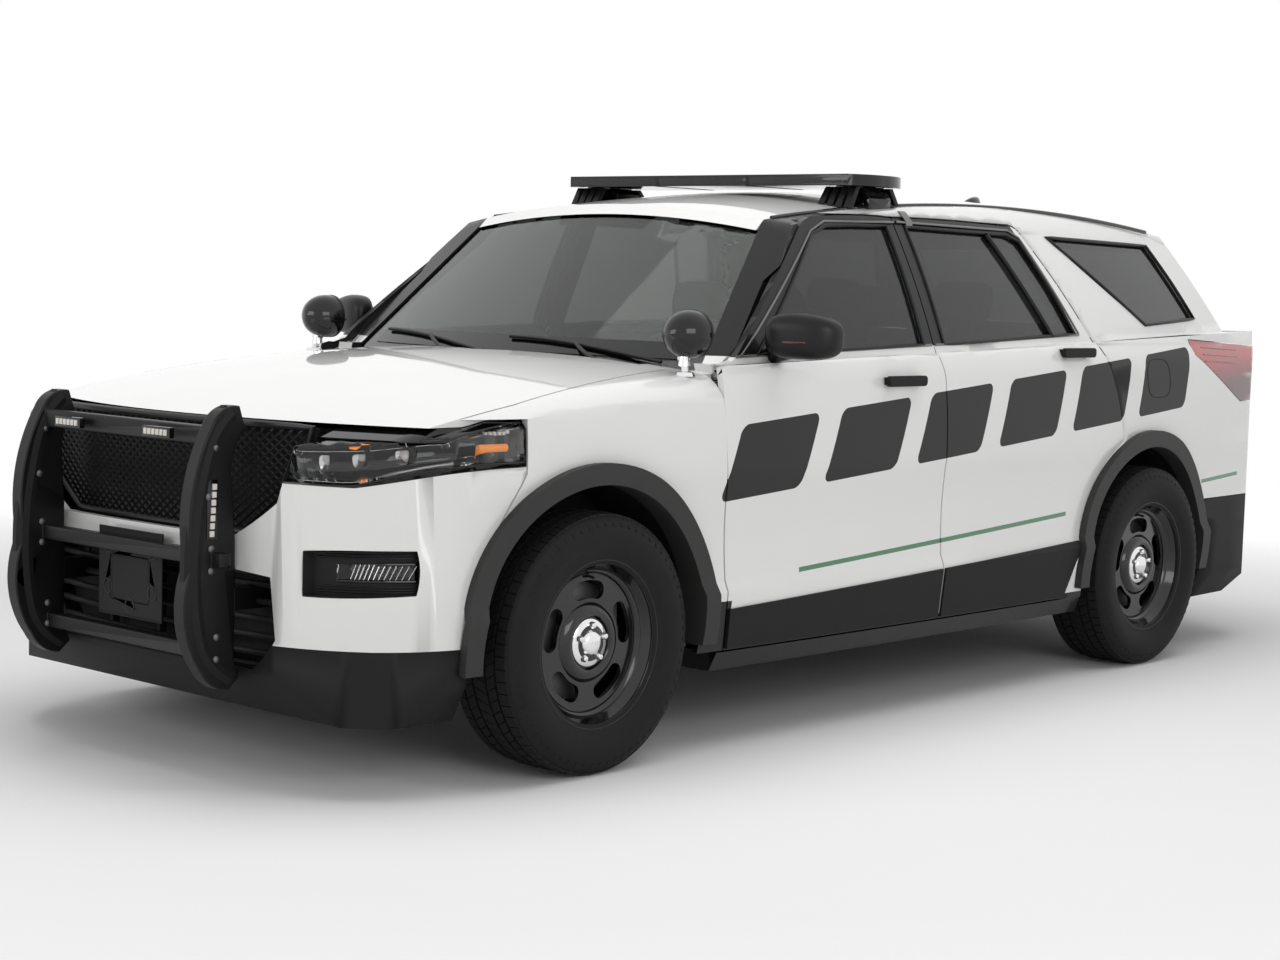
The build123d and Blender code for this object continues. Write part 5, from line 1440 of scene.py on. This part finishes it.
# ------------------------------------------------------------------ stage
FLOOR_RADIUS = 60
WHITE_FROM, WHITE_TO = 3.2, 6.0           # the floor fades to white between these distances
AMBIENT = 0.40
CAMERA_PLACE = (5.373, -4.700, 1.417)     # measured from the front axle, on the ground
CAMERA_TURN, CAMERA_DIP, CAMERA_ROLL = 42.32, 5.06, 1.623


def camera_matrix():
    """Camera's place and turn."""
    turn, dip, roll = (math.radians(v) for v in (CAMERA_TURN, CAMERA_DIP, CAMERA_ROLL))
    ahead = Vector((-math.sin(turn) * math.cos(dip), math.cos(turn) * math.cos(dip), -math.sin(dip)))
    right = Vector((math.cos(turn), math.sin(turn), 0))
    up = right.cross(ahead)
    right, up = (math.cos(roll) * right + math.sin(roll) * up, -math.sin(roll) * right + math.cos(roll) * up)
    spot = Vector(CAMERA_PLACE) + Vector((0, AXLE_Y, 0))
    matrix = Matrix((right, up, -ahead)).transposed().to_4x4()
    matrix.translation = spot
    return matrix


def seen_white(tree, shaded, white, extra=None):
    """Mixes to plain white for camera, glossy and transmission rays."""
    path = tree.nodes.new("ShaderNodeLightPath")
    total = tree.nodes.new("ShaderNodeMath")
    total.operation = "MAXIMUM"
    tree.links.new(path.outputs["Is Camera Ray"], total.inputs[0])
    second = tree.nodes.new("ShaderNodeMath")
    second.operation = "MAXIMUM"
    tree.links.new(path.outputs["Is Glossy Ray"], second.inputs[0])
    tree.links.new(path.outputs["Is Transmission Ray"], second.inputs[1])
    tree.links.new(second.outputs[0], total.inputs[1])
    mix = tree.nodes.new("ShaderNodeMixShader")
    factor = total.outputs[0]
    if extra is not None:
        product = tree.nodes.new("ShaderNodeMath")
        product.operation = "MULTIPLY"
        tree.links.new(factor, product.inputs[0])
        tree.links.new(extra, product.inputs[1])
        factor = product.outputs[0]
    tree.links.new(factor, mix.inputs[0])
    tree.links.new(shaded, mix.inputs[1])
    tree.links.new(white, mix.inputs[2])
    return mix.outputs[0]


def make_floor():
    """Pale floor that fades to white."""
    build = bmesh.new()
    bmesh.ops.create_circle(build, cap_ends=True, segments=96, radius=FLOOR_RADIUS)
    mesh = to_mesh("floor", build)
    if mesh.polygons[0].normal.z < 0:
        mesh.flip_normals()
    floor = bpy.data.objects.new("floor", mesh)
    bpy.context.scene.collection.objects.link(floor)
    material = bpy.data.materials.new("studio_floor")
    material.use_nodes = True
    tree = material.node_tree
    base = tree.nodes["Principled BSDF"]
    base.inputs["Base Color"].default_value = (0.86, 0.86, 0.86, 1)
    base.inputs["Roughness"].default_value = 0.9
    white = tree.nodes.new("ShaderNodeEmission")
    white.inputs["Color"].default_value = (1, 1, 1, 1)
    reach = node(material, "ShaderNodeVectorMath", i0=coordinates(material))
    reach.operation = "LENGTH"
    far = ramp(material, reach.outputs["Value"], WHITE_FROM, WHITE_TO)
    result = seen_white(tree, base.outputs[0], white.outputs[0], far)
    tree.links.new(result, tree.nodes["Material Output"].inputs["Surface"])
    mesh.materials.append(material)


def make_lights():
    """World and three soft lamps."""
    s = bpy.context.scene.suv_stage
    world = bpy.data.worlds.new("studio")
    bpy.context.scene.world = world
    world.use_nodes = True
    tree = world.node_tree
    shade = tree.nodes["Background"]
    shade.inputs["Color"].default_value = (1, 1, 1, 1)
    shade.inputs["Strength"].default_value = AMBIENT
    white = tree.nodes.new("ShaderNodeBackground")
    white.inputs["Color"].default_value = (1, 1, 1, 1)
    white.inputs["Strength"].default_value = 1.0
    result = seen_white(tree, shade.outputs[0], white.outputs[0])
    tree.links.new(result, tree.nodes["World Output"].inputs["Surface"])
    lamps = (("overhead", (0.5, -0.5, 6.5), (0, 0, 0), 7.0, 5.0, s.key_power),
             ("near_side", (6.5, -3.5, 3.2), (0, 0, 0.7), 4.5, 2.5, s.fill_power),
             ("nose", (-2.0, -8.0, 3.0), (0, -1, 0.7), 4.5, 2.5, s.fill_power))
    for name, spot, aim, width, height, power in lamps:
        data = bpy.data.lights.new(name, "AREA")
        data.shape, data.size, data.size_y, data.energy = "RECTANGLE", width, height, power
        lamp = bpy.data.objects.new(name, data)
        bpy.context.scene.collection.objects.link(lamp)
        lamp.location = spot
        lamp.rotation_euler = (Vector(aim) - Vector(spot)).to_track_quat("-Z", "Y").to_euler()
        lamp.visible_glossy = name != "overhead"


def make_camera():
    """Camera at the chosen viewing angle."""
    bpy.context.scene.view_settings.view_transform = "Standard"
    data = bpy.data.cameras.new("camera")
    data.sensor_width = 36
    data.lens = bpy.context.scene.suv_stage.lens
    data.clip_end = 200
    camera = bpy.data.objects.new("camera", data)
    bpy.context.scene.collection.objects.link(camera)
    camera.matrix_world = camera_matrix()
    bpy.context.scene.camera = camera


# ------------------------------------------------------------------ operators
class SUV_OT_finishes(bpy.types.Operator):
    """Makes every finish from the settings"""
    bl_idname, bl_label = "suv.finishes", "Finishes"

    def execute(self, context):
        M.update(make_materials())
        return {"FINISHED"}


def operator(idname, label, text, *steps):
    """An operator class that runs the steps of one group of pieces."""
    def execute(self, context):
        for step in steps:
            step()
        return {"FINISHED"}
    return type("SUV_OT_" + idname, (bpy.types.Operator,),
                {"__doc__": text, "bl_idname": "suv." + idname, "bl_label": label, "execute": execute})


GROUPS = [
    operator("panels", "Body panels", "Paints the panels and the side livery", make_panels),
    operator("glass", "Glass", "Tints the windows and the screens", make_glass),
    operator("window_trim", "Window trim", "Adds the surrounds and pillar covers", make_window_trim),
    operator("front_lamps", "Front lamps", "Builds the headlamps and fog lamps", make_headlamps,
             make_fog_lamps),
    operator("tail_lamps", "Tail lamps", "Finishes the tail lamps", make_tail_lamps),
    operator("grille", "Grille", "Builds the lattice and the intake slats", make_grille),
    operator("push_bumper", "Push bumper", "Dresses the push bumper", make_push_bumper),
    operator("light_bar", "Light bar", "Dresses the roof light bar", make_light_bar),
    operator("spotlights", "Spotlights", "Builds the two spotlights", make_spotlights),
    operator("mirrors", "Door mirrors", "Builds the door mirrors", make_mirrors),
    operator("tyres", "Tyres", "Builds the carcasses and the tread", make_tyres),
    operator("rims", "Wheels", "Dresses the steel wheels", make_rims),
    operator("seats", "Seats", "Builds the padded seats", make_seats),
    operator("cabin", "Cabin", "Dresses the dashboard and the floor", make_cabin),
    operator("underbody", "Underbody", "Dresses the chassis and the arch liners", make_underbody),
    operator("small_trim", "Small trim", "Adds wipers, antenna, plate and flap", make_cowl_and_wipers,
             make_roof_trim,
             make_tail_trim, make_fuel_flap),
    operator("stage", "Stage", "Sets the floor, the lights and the camera", make_floor, make_lights,
             make_camera),
]


class SUV_PT_panel(bpy.types.Panel):
    """Lists the settings and the groups of pieces"""
    bl_idname, bl_label = "SUV_PT_panel", "Police SUV"
    bl_space_type, bl_region_type, bl_category = "VIEW_3D", "UI", "Police SUV"

    def draw(self, context):
        for settings in (context.scene.suv_paint, context.scene.suv_wheels, context.scene.suv_stage):
            for name in settings.__annotations__:
                self.layout.prop(settings, name)
        for group in [SUV_OT_finishes] + GROUPS:
            self.layout.operator(group.bl_idname)


SETTINGS = (("suv_paint", PaintSettings), ("suv_wheels", WheelSettings), ("suv_stage", StageSettings))
CLASSES = [kind for _, kind in SETTINGS] + [SUV_OT_finishes] + GROUPS + [SUV_PT_panel]


def register():
    """Registers the settings and operators."""
    for kind in CLASSES:
        bpy.utils.register_class(kind)
    for name, kind in SETTINGS:
        setattr(bpy.types.Scene, name, PointerProperty(type=kind))


def unregister():
    """Removes the settings and operators."""
    for name, _ in SETTINGS:
        delattr(bpy.types.Scene, name)
    for kind in reversed(CLASSES):
        bpy.utils.unregister_class(kind)


def main():
    """Builds every group and writes the sizes."""
    register()
    for group in [SUV_OT_finishes] + GROUPS:
        getattr(bpy.ops.suv, group.bl_idname.split(".")[1])()


if __name__ == "__main__":
    main()
